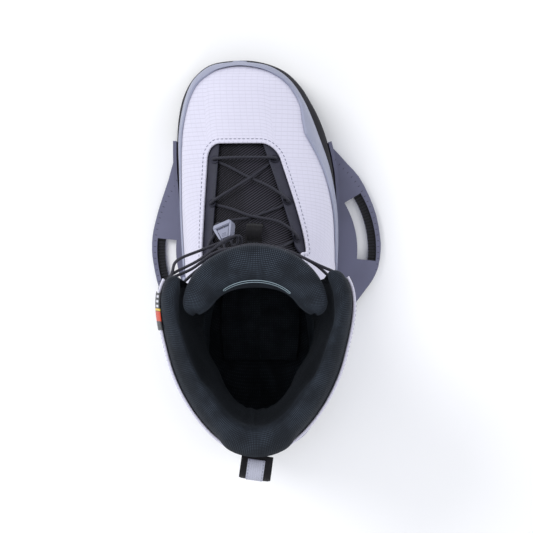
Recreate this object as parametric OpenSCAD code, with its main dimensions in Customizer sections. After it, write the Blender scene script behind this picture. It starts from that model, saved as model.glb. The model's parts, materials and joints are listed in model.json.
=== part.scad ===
// Right-foot wakeboard boot on its mounting chassis.
// Frame: +Y towards the toe, +X towards the outer side of the foot, +Z up.
// The origin is the centre of the two arc slots, on the face that meets the board.

/* [Chassis] */
// Radius of the arc slots' centre line, half the 6 inch insert spacing
slot_r = 76.2; // [74:0.1:78]
// Width of the arc slots, clear round an M6 screw and its sleeve
slot_w = 8.6; // [7:0.1:9.5]
// Start angle of the outer slot, from +X towards the toe
slot_from = -6; // [-10:1:-2]
// Sweep of each arc slot
slot_sweep = 37; // [30:1:40]
// Thickness of the mounting flange
flange_t = 7; // [6:0.5:8]
// Depth of the toothed ledge beside each slot
ledge_depth = 3; // [2:0.5:4]
// Number of grooves in each toothed ledge
ledge_teeth = 22; // [12:1:26]

/* [Sole] */
// Height of the midsole's top above the board
sole_top = 23.6; // [22:0.1:23.8]
// Number of screws that hold the chassis to the midsole on each side
screw_rows = 3; // [2:1:3]

/* [Upper] */
// Thickness of the outer shell fabric
shell_t = 1.9; // [1.5:0.1:2.2]
// Inset of the liner's outer face below the ankle
liner_out = 4.8; // [4.6:0.1:5.2]
// Inset of the tongue's outer face under the eyestays
tongue_out = 6.9; // [6.8:0.1:7.2]
// Inset of the liner's inner face
liner_in = 11.5; // [10.5:0.5:12]
// Greatest thickness of the collar padding, behind the heel
collar_pad = 25; // [23:0.5:26]

/* [Laces] */
// Diameter of the laces
lace_d = 2.2; // [2:0.1:2.6]
// Diameter of the eyelet holes
eyelet_hole_d = 4; // [3.8:0.1:4.4]

/* [Hidden] */

// Sections of the boot's outer surface, toe to collar. Each holds the sole or heel point
// (y, z), the instep or shin point (y, z), half width, sideways centre, taper towards the
// instep point, and the squareness of the lower and the upper half.
SECTIONS = [
    [145.2, 29, 145.2, 33,  4, -21,  0.00, 2.2, 2.2],
    [142.6, 25, 142.6, 44, 19, -21, -0.04, 2.6, 2.2],
    [136.8, 24, 136.8, 53, 30, -20, -0.06, 3.2, 2.2],
    [128, 24,   128, 61, 38, -19, -0.08, 3.4, 2.3],
    [112, 24,   112, 68, 45, -17, -0.10, 3.6, 2.3],
    [ 88, 24,    88, 78, 51, -14, -0.12, 3.6, 2.3],
    [ 58, 24,    62, 90, 55,  -9, -0.13, 3.6, 2.3],
    [ 20, 24,    36, 102, 57,  -6, -0.13, 3.6, 2.3],
    [-30, 24,    18, 112, 56,  -5, -0.12, 3.4, 2.3],
    [-90, 24,     8, 119, 53,  -5, -0.11, 3.2, 2.3],
    [-136, 30,    4, 124, 50,  -5, -0.08, 2.8, 2.2],
    [-153, 54,    2, 129, 49,  -6, -0.04, 2.5, 2.2],
    [-149, 82,    0, 136, 49,  -6,  0.02, 2.3, 2.2],
    [-143, 101,  -2, 153, 51,  -6,  0.08, 2.3, 2.2],
    [-141, 130,  -4, 172, 55,  -6,  0.14, 2.3, 2.4],
    [-142, 158,  -4, 192, 59.8, -7,  0.20, 2.2, 2.7],
    [-144, 184,  -3, 212, 62.6, -7,  0.26, 2.15, 3],
    [-145, 206,  -1, 230, 62,  -7,  0.26, 2.15, 3.1],
    [-144, 217,   2, 241, 60.5, -7,  0.26, 2.15, 3.1]
];

// Section numbers where one piece of the boot gives way to the next
throat_u = 5.3;
foot_top_u = 12;
cuff_bottom_u = 13;
cuff_top_u = 16.6;

// Outline of the midsole, anticlockwise from the toe
SOLE = [
    [-20, 148.5], [-43, 145.5], [-57, 135], [-65, 121], [-69, 105], [-70.5, 85], [-70, 60],
    [-67.5, 30], [-65, 0], [-61, -35], [-56, -75], [-52, -110], [-42, -138], [-24, -152],
    [-5, -156], [14, -152], [32, -138], [42, -110], [46, -75], [51, -35], [54, 0], [54.5, 30],
    [53, 60], [48, 84], [42, 101], [35, 115], [26, 129], [14, 140], [-2, 146.5]
];

// Outline of the flange on the outer side, toe to heel, and on the inner side, heel to toe
FLANGE_OUTER = [
    [44, 88], [54, 79], [64, 68], [73, 58], [81, 43], [87, 27], [90, 10], [90.5, 0],
    [88.5, -14], [84, -24], [79, -31], [73, -39], [60, -55], [44, -70]
];
FLANGE_INNER = [
    [-44, -88], [-54, -79], [-64, -68], [-73, -58], [-81, -43], [-87, -25], [-90, -10],
    [-91, 0], [-90.5, 11], [-88.5, 21], [-85, 34], [-78, 55], [-70.5, 80], [-60, 92]
];

// ---------- curves ----------
function spline(p, u) =
    let (n = len(p) - 1, i = min(max(floor(u), 0), n - 1), t = u - i,
         a = p[max(i - 1, 0)], b = p[i], c = p[i + 1], d = p[min(i + 2, n)])
    0.5 * (2 * b + (c - a) * t + (2 * a - 5 * b + 4 * c - d) * t * t
           + (3 * b - a - 3 * c + d) * t * t * t);

function loop_spline(p, u) =
    let (n = len(p), i = floor(u), t = u - i,
         a = p[(i - 1 + n) % n], b = p[i % n], c = p[(i + 1) % n], d = p[(i + 2) % n])
    0.5 * (2 * b + (c - a) * t + (2 * a - 5 * b + 4 * c - d) * t * t
           + (3 * b - a - 3 * c + d) * t * t * t);

function smooth_loop(p, per) = [for (i = [0 : len(p) * per - 1]) loop_spline(p, i / per)];
function smooth_line(p, per) =
    [for (i = [0 : (len(p) - 1) * per]) spline(p, i / per)];
function unit(v) = v / norm(v);
function left_normal(p, q) = let (d = unit(q - p)) [-d[1], d[0]];
function grow_loop(p, by) =
    let (n = len(p)) [for (i = [0 : n - 1])
        p[i] - by * left_normal(p[(i - 1 + n) % n], p[(i + 1) % n])];
function power(v, e) = sign(v) * pow(abs(v), e);
function range(a, b, n) = [for (i = [0 : n]) a + (b - a) * i / n];

// ---------- the boot's surface ----------
// A point of the surface: section number u, angle b from the instep line (positive on the
// outer side, 180 at the sole or heel), and inset d towards the foot.
function boot_point(u, b, d) =
    let (s = spline(SECTIONS, u), low = [s[0], s[1]], high = [s[2], s[3]],
         e = unit(high - low), half = norm(high - low) / 2 - d, mid = (low + high) / 2,
         n = cos(b) > 0 ? s[8] : s[7],
         c = power(cos(b), 2 / n), w = power(sin(b), 2 / n),
         yz = mid + e * half * c)
    [s[5] + (s[4] - d) * w * (1 + s[6] * c), yz[0], yz[1]];

// Angle of the surface point that lies dx sideways of the section's centre, upper half
function angle_at(u, dx, turns = 4, b = 40) =
    let (s = spline(SECTIONS, u), c = power(cos(b), 2 / s[8]),
         near = asin(pow(min(0.97, abs(dx) / s[4] / (1 + s[6] * c)), s[8] / 2)))
    turns == 0 ? sign(dx) * near : angle_at(u, dx, turns - 1, near);

// Edges of the lace opening, as angles, at section u
function edge_angle(u, x) = angle_at(u, x - spline(SECTIONS, u)[5]);
function mix(a, b, t) = a + (b - a) * min(1, max(0, t));
function opening_inner(u) =
    u < throat_u ? mix(-50, opening_inner(throat_u), u / throat_u)
    : u > 9 ? mix(opening_inner(9), -50, (u - 9) / 3)
    : edge_angle(u, -45.7 - (70 - spline(SECTIONS, u)[2]) * 0.06);
function opening_outer(u) =
    u < throat_u ? mix(30, opening_outer(throat_u), u / throat_u)
    : u > 9 ? mix(opening_outer(9), 46, (u - 9) / 3)
    : edge_angle(u, 11 + (68 - spline(SECTIONS, u)[2]) * 0.33);

// Columns of angles round a closed ring: first across the lace opening, then round the sole
front_cols = 8;
around_cols = 24;
function ring_angles(u, more = 0) =
    let (a = opening_inner(u) - more, c = opening_outer(u) + more)
    concat([for (i = [0 : front_cols - 1]) a + (c - a) * i / front_cols],
           [for (i = [0 : around_cols - 1]) c + (360 + a - c) * i / around_cols]);

// A point on the boot at section u and sideways place x, inset by d, and the frame there:
// across the foot, towards the toe, and outwards
function top_point(u, x, d) = boot_point(u, edge_angle(u, x), d);
function frame_at(u, x, d) =
    let (b = edge_angle(u, x), p = boot_point(u, b, d),
         across = unit(boot_point(u, b + 1, d) - boot_point(u, b - 1, d)),
         ahead = boot_point(u - 0.05, b, d) - boot_point(u + 0.05, b, d),
         up = unit(cross(across, ahead)), toe = cross(up, across))
    [across, toe, up, p];
function in_frame(f, v) = f[3] + f[0] * v[0] + f[1] * v[1] + f[2] * v[2];
module at_frame(f) {
    multmatrix([[f[0][0], f[1][0], f[2][0], f[3][0]],
                [f[0][1], f[1][1], f[2][1], f[3][1]],
                [f[0][2], f[1][2], f[2][2], f[3][2]]]) children();
}

// ---------- solids from grids ----------
// A closed skin between two grids of points, rows by columns. With wrap, the last column
// joins the first. keep(i, j) says which cells exist. cap closes the first row to a tip.
module skin(outer, inner, wrap = false, keep = function (i, j) true, cap = false) {
    rows = len(outer);
    cols = len(outer[0]);
    cells = wrap ? cols : cols - 1;
    m = rows * cols;
    points = concat([for (r = outer) each r], [for (r = inner) each r],
        cap ? [centre(outer[0]), centre(inner[0])] : []);
    function at(i, j) = i * cols + (j % cols);
    function kept(i, j) =
        i >= 0 && i < rows - 1 && (wrap || (j >= 0 && j < cells))
        && keep(i, (j + cells) % cells);
    faces = concat(
        [for (i = [0 : rows - 2], j = [0 : cells - 1]) if (kept(i, j))
            each [[at(i, j), at(i + 1, j), at(i + 1, j + 1)],
                  [at(i, j), at(i + 1, j + 1), at(i, j + 1)],
                  [m + at(i, j), m + at(i + 1, j + 1), m + at(i + 1, j)],
                  [m + at(i, j), m + at(i, j + 1), m + at(i + 1, j + 1)]]],
        [for (i = [0 : rows - 2], j = [0 : cells - 1]) if (kept(i, j)) each concat(
            kept(i - 1, j) || (cap && i == 0) ? [] : wall(at(i, j), at(i, j + 1), m),
            kept(i + 1, j) ? [] : wall(at(i + 1, j + 1), at(i + 1, j), m),
            kept(i, j - 1) ? [] : wall(at(i + 1, j), at(i, j), m),
            kept(i, j + 1) ? [] : wall(at(i, j + 1), at(i + 1, j + 1), m))],
        cap ? [for (j = [0 : cells - 1]) each [
            [2 * m, at(0, j), at(0, j + 1)], [2 * m + 1, m + at(0, j + 1), m + at(0, j)]]] : []);
    polyhedron(points, faces);
}
function wall(p, q, m) = [[p, q, m + q], [p, m + q, m + p]];
function centre(ring) = [for (k = [0 : 2]) sum([for (p = ring) p[k]]) / len(ring)];
function sum(v, i = 0) = i >= len(v) ? 0 : v[i] + sum(v, i + 1);

// A patch of the boot over section numbers and a list of angles for each. The insets are
// functions of section and angle.
function sheet_of(us, angles, d) = [for (u = us) [for (b = angles(u)) boot_point(u, b, d(u, b))]];
function flat(d) = function (u, b) d;
module patch(us, angles, d_out, d_in) {
    skin(sheet_of(us, angles, d_out), sheet_of(us, angles, d_in));
}
function span(a, b, n) = function (u) range(a, b, n);

// A tube of diameter d that follows points, with flat ends
module tube(path, d, sides = 8) {
    n = len(path);
    dirs = [for (i = [0 : n - 1]) unit(path[min(i + 1, n - 1)] - path[max(i - 1, 0)])];
    frames = carry(dirs, 0, start_normal(dirs[0]), []);
    rings = [for (i = [0 : n - 1]) [for (s = [0 : sides - 1])
        let (a = 360 * s / sides, side = cross(dirs[i], frames[i]))
        path[i] + d / 2 * (cos(a) * frames[i] + sin(a) * side)]];
    faces = concat(
        [for (i = [0 : n - 2], s = [0 : sides - 1])
            let (a = i * sides + s, b = i * sides + (s + 1) % sides)
            each [[a, b + sides, b], [a, a + sides, b + sides]]],
        [[for (s = [0 : sides - 1]) s]],
        [[for (s = [sides - 1 : -1 : 0]) (n - 1) * sides + s]]);
    polyhedron([for (r = rings) each r], faces);
}
function start_normal(t) = unit(cross(t, abs(t[2]) < 0.9 ? [0, 0, 1] : [1, 0, 0]));
function carry(dirs, i, normal, done) =
    i >= len(dirs) ? done
    : let (flat = unit(normal - dirs[i] * (normal * dirs[i])))
      carry(dirs, i + 1, flat, concat(done, [flat]));

// ---------- chassis and sole ----------
function chassis_outline() =
    concat(smooth_line(FLANGE_INNER, 2), [[-30, 96], [10, 96]], smooth_line(FLANGE_OUTER, 2),
           [[10, -92], [-24, -96]]);
screw_y = [for (i = [0 : screw_rows - 1]) 62 - i * 124 / (screw_rows - 1)];
screw_x = 26;
screw_cx = -6;
module at_screws() {
    for (y = screw_y, side = [-1, 1]) translate([screw_cx + side * screw_x, y, 0]) children();
}
module arc_slot(r_low, r_high, z_low, z_high) {
    for (turn = [0, 180]) rotate([0, 0, slot_from + turn]) rotate_extrude(angle = slot_sweep)
        translate([r_low, z_low]) square([r_high - r_low, z_high - z_low]);
}
ledge_in = slot_r + slot_w / 2;
ledge_out = ledge_in + 6.4;
module chassis() {
    color([0.36, 0.36, 0.45]) difference() {
        union() {
            linear_extrude(flange_t) polygon(chassis_outline());
            side_rails();
        }
        arc_slot(slot_r - slot_w / 2, ledge_in, -1, flange_t + 1);
        arc_slot(ledge_in - 0.01, ledge_out, flange_t - ledge_depth, flange_t + 1);
        ledge_grooves();
        at_screws() translate([0, 0, -1]) cylinder(r = 2.7, h = flange_t + 2, $fn = 32);
        at_screws() translate([0, 0, -0.5]) cylinder(r = 5.3, h = 3.2, $fn = 32);
    }
}
module ledge_grooves() {
    for (turn = [0, 180], i = [0 : ledge_teeth - 1])
        rotate([0, 0, turn + slot_from + slot_sweep * (i + 0.7) / (ledge_teeth + 0.4)])
            translate([ledge_in - 0.5, -0.55, flange_t - ledge_depth - 1])
                cube([ledge_out - ledge_in, 1.1, 2]);
}
// The walls that hold the midsole on each side, made from the midsole's own outline
module side_rails() {
    base = smooth_loop(SOLE, 2);
    for (stretch = [[10, 20], [36, 46]]) {
        inside = [for (i = [stretch[0] : stretch[1]]) grow_loop(base, 0.3)[i]];
        outside = [for (i = [stretch[1] : -1 : stretch[0]]) grow_loop(base, 3)[i]];
        linear_extrude(sole_top) polygon(concat(inside, outside));
    }
}
module chassis_screws() {
    color([0.25, 0.25, 0.27]) at_screws() difference() {
        union() {
            translate([0, 0, 0.3]) cylinder(r = 5, h = 2.2, $fn = 32);
            translate([0, 0, 2.4]) cylinder(r = 2.45, h = 13, $fn = 32);
        }
        translate([0, 0, -0.5]) cylinder(r = 2, h = 2.2, $fn = 6);
    }
}
module tee_nuts() {
    color([0.62, 0.62, 0.62]) at_screws() difference() {
        union() {
            translate([0, 0, 9]) cylinder(r = 3.8, h = 12.2, $fn = 32);
            translate([0, 0, 21]) cylinder(r = 8, h = 1.2, $fn = 32);
        }
        translate([0, 0, 8]) cylinder(r = 2.55, h = 20, $fn = 32);
    }
}
module sole_part(y_low, y_high, z_low, z_high, by) {
    intersection() {
        translate([0, 0, z_low]) linear_extrude(z_high - z_low)
            polygon(grow_loop(smooth_loop(SOLE, 2), by));
        translate([-200, y_low, z_low - 1]) cube([400, y_high - y_low, z_high - z_low + 2]);
    }
}
module toe_pad() { color([0.14, 0.14, 0.17]) sole_part(96.3, 200, 0, flange_t, -1); }
module heel_pad() { color([0.14, 0.14, 0.17]) sole_part(-200, -96.3, 0, flange_t, -1); }
module midsole() {
    color([0.17, 0.17, 0.21]) difference() {
        translate([0, 0, flange_t + 0.2]) linear_extrude(sole_top - flange_t - 0.2)
            polygon(smooth_loop(SOLE, 2));
        at_screws() translate([0, 0, 1]) cylinder(r = 4, h = 30, $fn = 32);
        at_screws() translate([0, 0, 20.8]) cylinder(r = 8.2, h = 10, $fn = 32);
    }
}

// ---------- inside the foot ----------
// Outline of the space left inside inset d at height z, along both sides
function side_at(u, z, d, side) =
    let (s = spline(SECTIONS, u), half = norm([s[2] - s[0], s[3] - s[1]]) / 2 - d,
         e = unit([s[2] - s[0], s[3] - s[1]]), mid = [s[0] + s[2], s[1] + s[3]] / 2,
         c = max(-0.995, (z - mid[1]) / e[1] / half), w = pow(1 - pow(-c, s[7]), 1 / s[7]))
    [s[5] + side * (s[4] - d) * w * (1 + s[6] * c), mid[0] + e[0] * half * c];
function inside_outline(us, z, d) =
    concat([for (u = us) side_at(u, z, d, 1)],
           [for (i = [len(us) - 1 : -1 : 0]) side_at(us[i], z, d, -1)]);
module lasting_board() {
    color([0.5, 0.45, 0.35]) translate([0, 0, 26.2]) linear_extrude(0.9)
        polygon(inside_outline(range(2.4, 9, 12), 26.2, shell_t + 1.7));
}
module footbed() {
    color([0.2, 0.22, 0.27]) translate([0, 0, 37.6]) linear_extrude(4)
        polygon(inside_outline(range(3.2, 9.2, 12), 37.6, liner_in + 1.8));
}

// ---------- lower shell ----------
function ring(us, d, more = 0) =
    [for (u = us) [for (b = ring_angles(u, more)) boot_point(u, b, d)]];
foot_us = concat([0, 0.35, 0.8, 1.4, 2.1, 2.9, 3.7, 4.5, throat_u],
    [for (u = [6 : 0.75 : 9]) u], [for (u = [9.5 : 0.5 : 12]) u]);
throat_row = 8;
module vamp() {
    inner_us = [for (u = foot_us) u < 1 ? 0.3 + u * 0.7 : u];
    color([0.87, 0.87, 0.94]) skin(ring(foot_us, 0), ring(inner_us, shell_t), wrap = true,
        keep = function (i, j) i < throat_row || j >= front_cols, cap = true);
}
module shell_flex_zone() {
    us = range(foot_top_u + 0.03, cuff_bottom_u - 0.03, 2);
    color([0.8, 0.8, 0.88]) patch(us, function (u) range(48, 308, 24), flat(0.6), flat(shell_t));
}
// Toe rand, round the toe and along both sides above the sole. Its top edge, as an angle,
// climbs to a corner on the outer side.
function rand_top_outer(u) = lookup(u, [[0, 12], [0.4, 16], [0.9, 22], [1.3, 28], [1.8, 38],
    [2.5, 54], [3.2, 68], [4, 72], [4.6, 64], [5, 61], [5.6, 70], [6.2, 78], [7, 86], [8, 92]]);
function rand_top_inner(u) = lookup(u, [[0, 12], [0.4, 16], [0.9, 22], [1.3, 28], [1.8, 38],
    [2.5, 50], [3.2, 66], [4, 78], [5, 88], [6, 94], [8, 96]]);
function tip_ring(bs, y, k) =
    let (s = SECTIONS[0])
    [for (b = bs) let (p = boot_point(0, b, 0), z = (s[1] + s[3]) / 2)
        [s[5] + (p[0] - s[5]) * k, y, z + (p[2] - z) * k]];
// The rand stands a little ahead of the toe, where the surface faces forwards
function rand_sheet(us, angles, d) = [for (u = us) [for (b = angles(u))
    boot_point(u, b, d) + [0, lookup(u, [[0, 0.7], [1.3, 0.6], [2.5, 0]]), 0]]];
module toe_rand() {
    us = [0, 0.4, 0.9, 1.3, 1.8, 2.5, 3.2, 4, 4.6, 5, 5.6, 6.2, 7, 8];
    angles = function (u) concat(range(-146, -rand_top_inner(u), 4),
        range(rand_top_outer(u), 146, 4));
    out = concat([tip_ring(angles(0), 147.1, 0.05)], rand_sheet(us, angles, -2.6));
    in = concat([tip_ring(angles(0), 146.1, 0.05)], rand_sheet(us, angles, -1.25));
    color([0.58, 0.6, 0.68]) skin(out, in, keep = function (i, j) j != 4 || i < 4);
}
module heel_rand() {
    color([0.58, 0.6, 0.68]) difference() {
        patch(range(8.1, 11, 6), span(104, 256, 14), flat(-2.4), flat(-0.9));
        translate([-100, -200, 0]) cube([200, 250, sole_top + 0.3]);
    }
}
// A strip of the foot between two insets, over the ring's own columns in a span of angles
module foot_strip(us, d_out, d_in, low, high) {
    mid = function (j) let (r = ring_angles(us[0])) (r[j] + r[(j + 1) % len(r)]) / 2;
    skin(ring(us, d_out), ring(us, d_in), wrap = true,
        keep = function (i, j) let (b = (mid(j) + 720) % 360) low < high
            ? b > low && b < high : b > low || b < high);
}
module toe_stiffener() {
    color([0.3, 0.3, 0.32]) foot_strip([1.4, 2.1, 2.9, 3.7], shell_t + 0.4, shell_t + 1.6, 250, 100);
}
module heel_counter() {
    color([0.3, 0.3, 0.32]) foot_strip([9.5, 10, 10.5, 11, 11.5], shell_t + 0.4, shell_t + 2,
        105, 255);
}

// ---------- lacing ----------
eyelet_u = [5.8, 7, 8.4];
function eyelet_x(k, side) =
    let (y = spline(SECTIONS, eyelet_u[k])[2])
    side < 0 ? -40.6 - (70 - y) * 0.045 : 6.6 + (68 - y) * 0.31;
function eyelet_frame(k, side, d) = frame_at(eyelet_u[k], eyelet_x(k, side), d);
module at_eyelets(sides) {
    for (side = sides, k = [0 : 2]) at_frame(eyelet_frame(k, side, stay_mid)) children();
}
stay_out = shell_t + 0.8;
stay_in = shell_t + 2.2;
stay_mid = (stay_out + stay_in) / 2;
module eyestay(side) {
    edge = side < 0 ? function (u) opening_inner(u) : function (u) opening_outer(u);
    wide = function (u) 560 / spline(SECTIONS, u)[4];
    angles = function (u) range(edge(u) + side * 7, edge(u) - side * wide(u) * 1.1, 3);
    us = [5.15, 5.5, 6, 6.5, 7, 7.5, 8, 8.6, 9.2];
    color([0.23, 0.23, 0.28]) difference() {
        patch(us, side < 0 ? angles : function (u) rev(angles(u)), flat(stay_out), flat(stay_in));
        at_eyelets([side]) translate([0, 0, -4]) cylinder(d = eyelet_hole_d + 0.1, h = 8, $fn = 24);
    }
}
function rev(v) = [for (i = [len(v) - 1 : -1 : 0]) v[i]];
module eyestay_medial() { eyestay(-1); }
module eyestay_lateral() { eyestay(1); }
module lace_eyelets() {
    color([0.2, 0.2, 0.23]) at_eyelets([-1, 1]) difference() {
        union() {
            translate([0, 0, -1.4]) cylinder(d = eyelet_hole_d, h = 2.8, $fn = 32);
            translate([0, 0, 0.95]) cylinder(d = eyelet_hole_d + 2.6, h = 0.5, $fn = 32);
        }
        translate([0, 0, -3]) cylinder(d = eyelet_hole_d - 0.9, h = 6, $fn = 32);
    }
}
function foot_tongue(n) = function (u) range(opening_inner(u) + 2, opening_outer(u) - 2, n);
module lower_tongue() {
    color([0.14, 0.14, 0.17]) patch([4.9, 5.4, 6, 6.8, 7.6, 8.4, 9.2, 10, 11, foot_top_u],
        foot_tongue(8), flat(tongue_out), flat(tongue_out + 4.2));
}
module tongue_flex_zone() {
    color([0.14, 0.14, 0.17]) patch(range(foot_top_u + 0.03, cuff_bottom_u - 0.03, 2),
        span(-44, 40, 8), flat(tongue_out), flat(tongue_out + 4));
}
keeper_frame = frame_at(8.35, -9.5, tongue_out);
module tongue_keeper() {
    color([0.2, 0.2, 0.25]) at_frame(keeper_frame) rotate([0, 0, -6]) rotate([90, 0, 90])
        translate([0, 0, -6]) linear_extrude(12) polygon([
            [-9, 1.5], [-6.2, 1.5], [-5, 5.5], [-2.4, 7.8], [2.4, 7.8], [5, 5.5], [6.2, 1.5],
            [9, 1.5], [9, 2.8], [7.2, 2.8], [6, 6.3], [3, 9.2], [-3, 9.2], [-6, 6.3],
            [-7.2, 2.8], [-9, 2.8]]);
}

// ---------- lace lock ----------
// The lock's frame: the lace leaves it towards -Y. It slides 5 mm that way. A plate in the
// frame is pushed towards the bar at the +Y end to let the lace run.
lock_tilt = 7;
lock_base = frame_at(8.4, -28.8, -1);
function turned(f, a) = [f[0] * cos(a) + f[1] * sin(a), f[1] * cos(a) - f[0] * sin(a), f[2], f[3]];
lock_frame = turned(lock_base, lock_tilt);
lock_half = 7.5;
lock_low_half = 4.6;
lock_end = 6.8;
lock_plate_z = 4.4;
lace_gap = 3;
// Half width of the lock at y, which narrows below the bar
function lock_half_at(y) = mix(lock_low_half, lock_half, (y + lock_end) / (lock_end + 3.2));
module lower_lock_body() {
    low = lock_half_at(-lock_end);
    color([0.6, 0.61, 0.69]) at_frame(lock_frame) difference() {
        union() {
            linear_extrude(6.4) polygon([
                [-lock_half + 1.4, lock_end], [-lock_half, lock_end - 1.4], [-lock_half, 3.2],
                [-low, 0.8 - lock_end], [0.8 - low, -lock_end], [low - 0.8, -lock_end],
                [low, 0.8 - lock_end], [lock_half, 3.2], [lock_half, lock_end - 1.4],
                [lock_half - 1.4, lock_end]]);
            translate([0.8 - lock_half, 3.6, 0]) cube([2 * lock_half - 1.6, 2.6, 7.1]);
        }
        for (x = [-lace_gap, lace_gap]) translate([x, 0, 2]) rotate([90, 0, 0])
            cylinder(d = lace_d + 0.7, h = 40, center = true, $fn = 32);
        translate([0, 0, lock_plate_z - 0.3]) linear_extrude(5) polygon([
            [-lock_half + 2, 3.2], [lock_half - 2, 3.2],
            [low - 1.8, -lock_end - 1], [1.8 - low, -lock_end - 1]]);
        translate([0, 3, 5.35]) rotate([-90, 0, 0]) cylinder(d = 1.5, h = 2.4, $fn = 24);
    }
}
module lower_lock_button() {
    color([0.6, 0.61, 0.69]) at_frame(lock_frame) difference() {
        translate([0, 0, lock_plate_z]) linear_extrude(1.9) polygon([
            [-4.7, 1.5], [4.7, 1.5], [2.5, -6.4], [-2.5, -6.4]]);
        translate([0, 1.6, 5.35]) rotate([90, 0, 0]) cylinder(d = 1.3, h = 3.2, $fn = 24);
        for (y = [-5.4, -4.2, -3]) translate([-1.8, y, lock_plate_z + 1.5]) cube([3.6, 0.5, 1]);
    }
}
spring_turns = 5;
module lower_lock_spring() {
    steps = spring_turns * 8;
    color([0.7, 0.7, 0.7]) at_frame(lock_frame) tube([for (i = [0 : steps])
        [0.42 * cos(45 * i), -1.4 + 6.4 * i / steps, 5.35 + 0.42 * sin(45 * i)]], 0.26, 4);
}

// ---------- laces ----------
function hole_run(k, side) = [
    in_frame(eyelet_frame(k, side, stay_mid), [0, 0, 3]),
    in_frame(eyelet_frame(k, side, stay_mid), [0, 0, 0]),
    in_frame(eyelet_frame(k, side, stay_mid), [0, 0, -2.2])];
function lock_run(x) = [for (y = [9, 6.8, -6.8, -9.5]) in_frame(lock_frame, [x, y, 2])];
function tops(list) = [for (q = list) top_point(q[0], q[1], q[2])];
// The tails leave the lock, turn back beside the keeper and run to the medial flap
tail_a = [[-27.5, -1.6, 118.6], [-22, -1, 120], [-18.6, 4, 122], [-20.5, 9, 124],
    [-31, 5, 128], [-47, -1.5, 139.5], [-60.5, -7, 150], [-65.5, -11, 158], [-66.8, -17, 166.5],
    [-68.5, -24, 175]];
tail_b = [[-24.3, 2.8, 121], [-21.4, 3.2, 125], [-22.4, 8.8, 128], [-33, 3.4, 136],
    [-49, -9, 148], [-65, -17.5, 161], [-69.5, -21.5, 168]];
lower_lace_route = concat(
    rev(tail_a), rev(lock_run(-lace_gap)),
    [for (p = [[-5.2, 10.4, 1.4], [-8.2, 9, 0.6], [-9.4, 4.5, 0]]) in_frame(lock_frame, p)],
    hole_run(2, -1),
    tops([[9.2, -30, 4.2], [9.7, -10, 4.2], [9.4, 10, 4.2]]),
    rev(hole_run(2, 1)),
    tops([[8.1, 17, 0.2], [7.8, 7, 0.8], [7.56, -12, 2.4], [7.2, -29, 5]]),
    rev(hole_run(1, -1)),
    tops([[6.75, -31, 0.4], [6.4, -15, 0.4], [6.1, -4, 5]]),
    rev(hole_run(0, 1)),
    tops([[5.75, -5, -0.4], [5.75, -26, -0.4]]),
    hole_run(0, -1),
    tops([[6.02, -29, 5.5], [6.3, -14, 4.2], [6.6, 3, 0.6]]),
    hole_run(1, 1),
    tops([[7.15, 12, 5.5], [7.38, -1, 5.2], [7.56, -12, 5], [7.7, -23, 1.4]]),
    lock_run(lace_gap), tail_b);
module lower_lace() {
    color([0.3, 0.3, 0.33]) tube(smooth_line(lower_lace_route, 1), lace_d, 8);
}

// ---------- cuff ----------
cuff_us = concat([cuff_bottom_u], [for (u = [13.6 : 0.6 : 16]) u], [16.3, cuff_top_u]);
cuff_angles = range(50, 308, 24);
module cuff() {
    color([0.87, 0.87, 0.94]) patch(cuff_us, function (u) cuff_angles, flat(0), flat(shell_t));
}
// Tape over the front edges of both flaps
module cuff_binding() {
    us = [13.05, 14, 15, 15.8, 16.3, 16.58];
    angles = function (u) [50.5, 53, 305, 307.5];
    color([0.2, 0.2, 0.25]) skin(sheet_of(us, angles, flat(-1.6)), sheet_of(us, angles, flat(-0.7)),
        keep = function (i, j) j != 1);
}
// Inset of the padding's inner face: thin at the front flaps, thickest behind the heel
function smooth(t) = let (c = min(1, max(0, t))) c * c * (3 - 2 * c);
function from_front(b) = min(b, 360 - b);
function collar_in(u, b) =
    let (w = from_front(b), flap = mix(10.4, 13.2, (w - 44) / 20),
         high = mix(flap, shell_t + collar_pad - 5, smooth((w - 85) / 40)),
         deep = mix(flap, shell_t + collar_pad, smooth((w - 62) / 48)))
    u < 14.4 ? mix(liner_in, deep, smooth((u - 13) / 1.4))
    : mix(deep, high, smooth((u - 15.4) / 1.4));
module liner_collar() {
    us = concat(cuff_us, [16.85, 17.2, 17.45, 17.6]);
    back = function (b) smooth((from_front(b) - 85) / 50);
    heel = function (b) smooth((from_front(b) - 142) / 14);
    roll = function (u, k, h) lookup(u, [[16.8, mix(0.8 + 1.2 * k, 0.2, h)], [17.2, mix(2 + 4 * k, 3, h)],
        [17.45, mix(3.8 + 6 * k, 7.4, h)], [17.6, mix(5.8 + 6.9 * k, 11, h)]]);
    fall = function (u) lookup(u, [[16.8, 0], [17.2, 1], [17.45, 2.5], [17.6, 4.5]]);
    angles = function (u) concat([mix(46, 39, (u - 15.5) / 1.5), 46.5], cuff_angles, [311, 314]);
    out = function (u, b) u <= cuff_top_u ? shell_t + 0.4 : roll(u, back(b), heel(b));
    color([0.13, 0.14, 0.18]) patch(us, angles, out,
        function (u, b) collar_in(u, b) - fall(u) * (0.45 + 0.55 * back(b)));
}
module lace_studs(side) {
    color([0.3, 0.3, 0.34]) for (u = [14.1, 15.2])
        at_frame(skin_frame(u, side < 0 ? 302 : 56, 0)) difference() {
            union() {
                translate([0, 0, 0.4]) cylinder(d = 4, h = 5, $fn = 32);
                translate([0, 0, 5]) cylinder(d = 8, h = 1.4, $fn = 32);
                translate([0, 0, 0.4]) cylinder(d = 5.4, h = 1, $fn = 32);
            }
            translate([0, 0, 5.6]) cylinder(d = 2.4, h = 4, $fn = 6);
        }
}
function skin_frame(u, b, d) =
    let (p = boot_point(u, b, d), across = unit(boot_point(u, b + 1, d) - boot_point(u, b - 1, d)),
         ahead = boot_point(u - 0.05, b, d) - boot_point(u + 0.05, b, d),
         up = unit(cross(across, ahead)))
    [across, cross(up, across), up, p];
module lace_studs_medial() { lace_studs(-1); }
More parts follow.
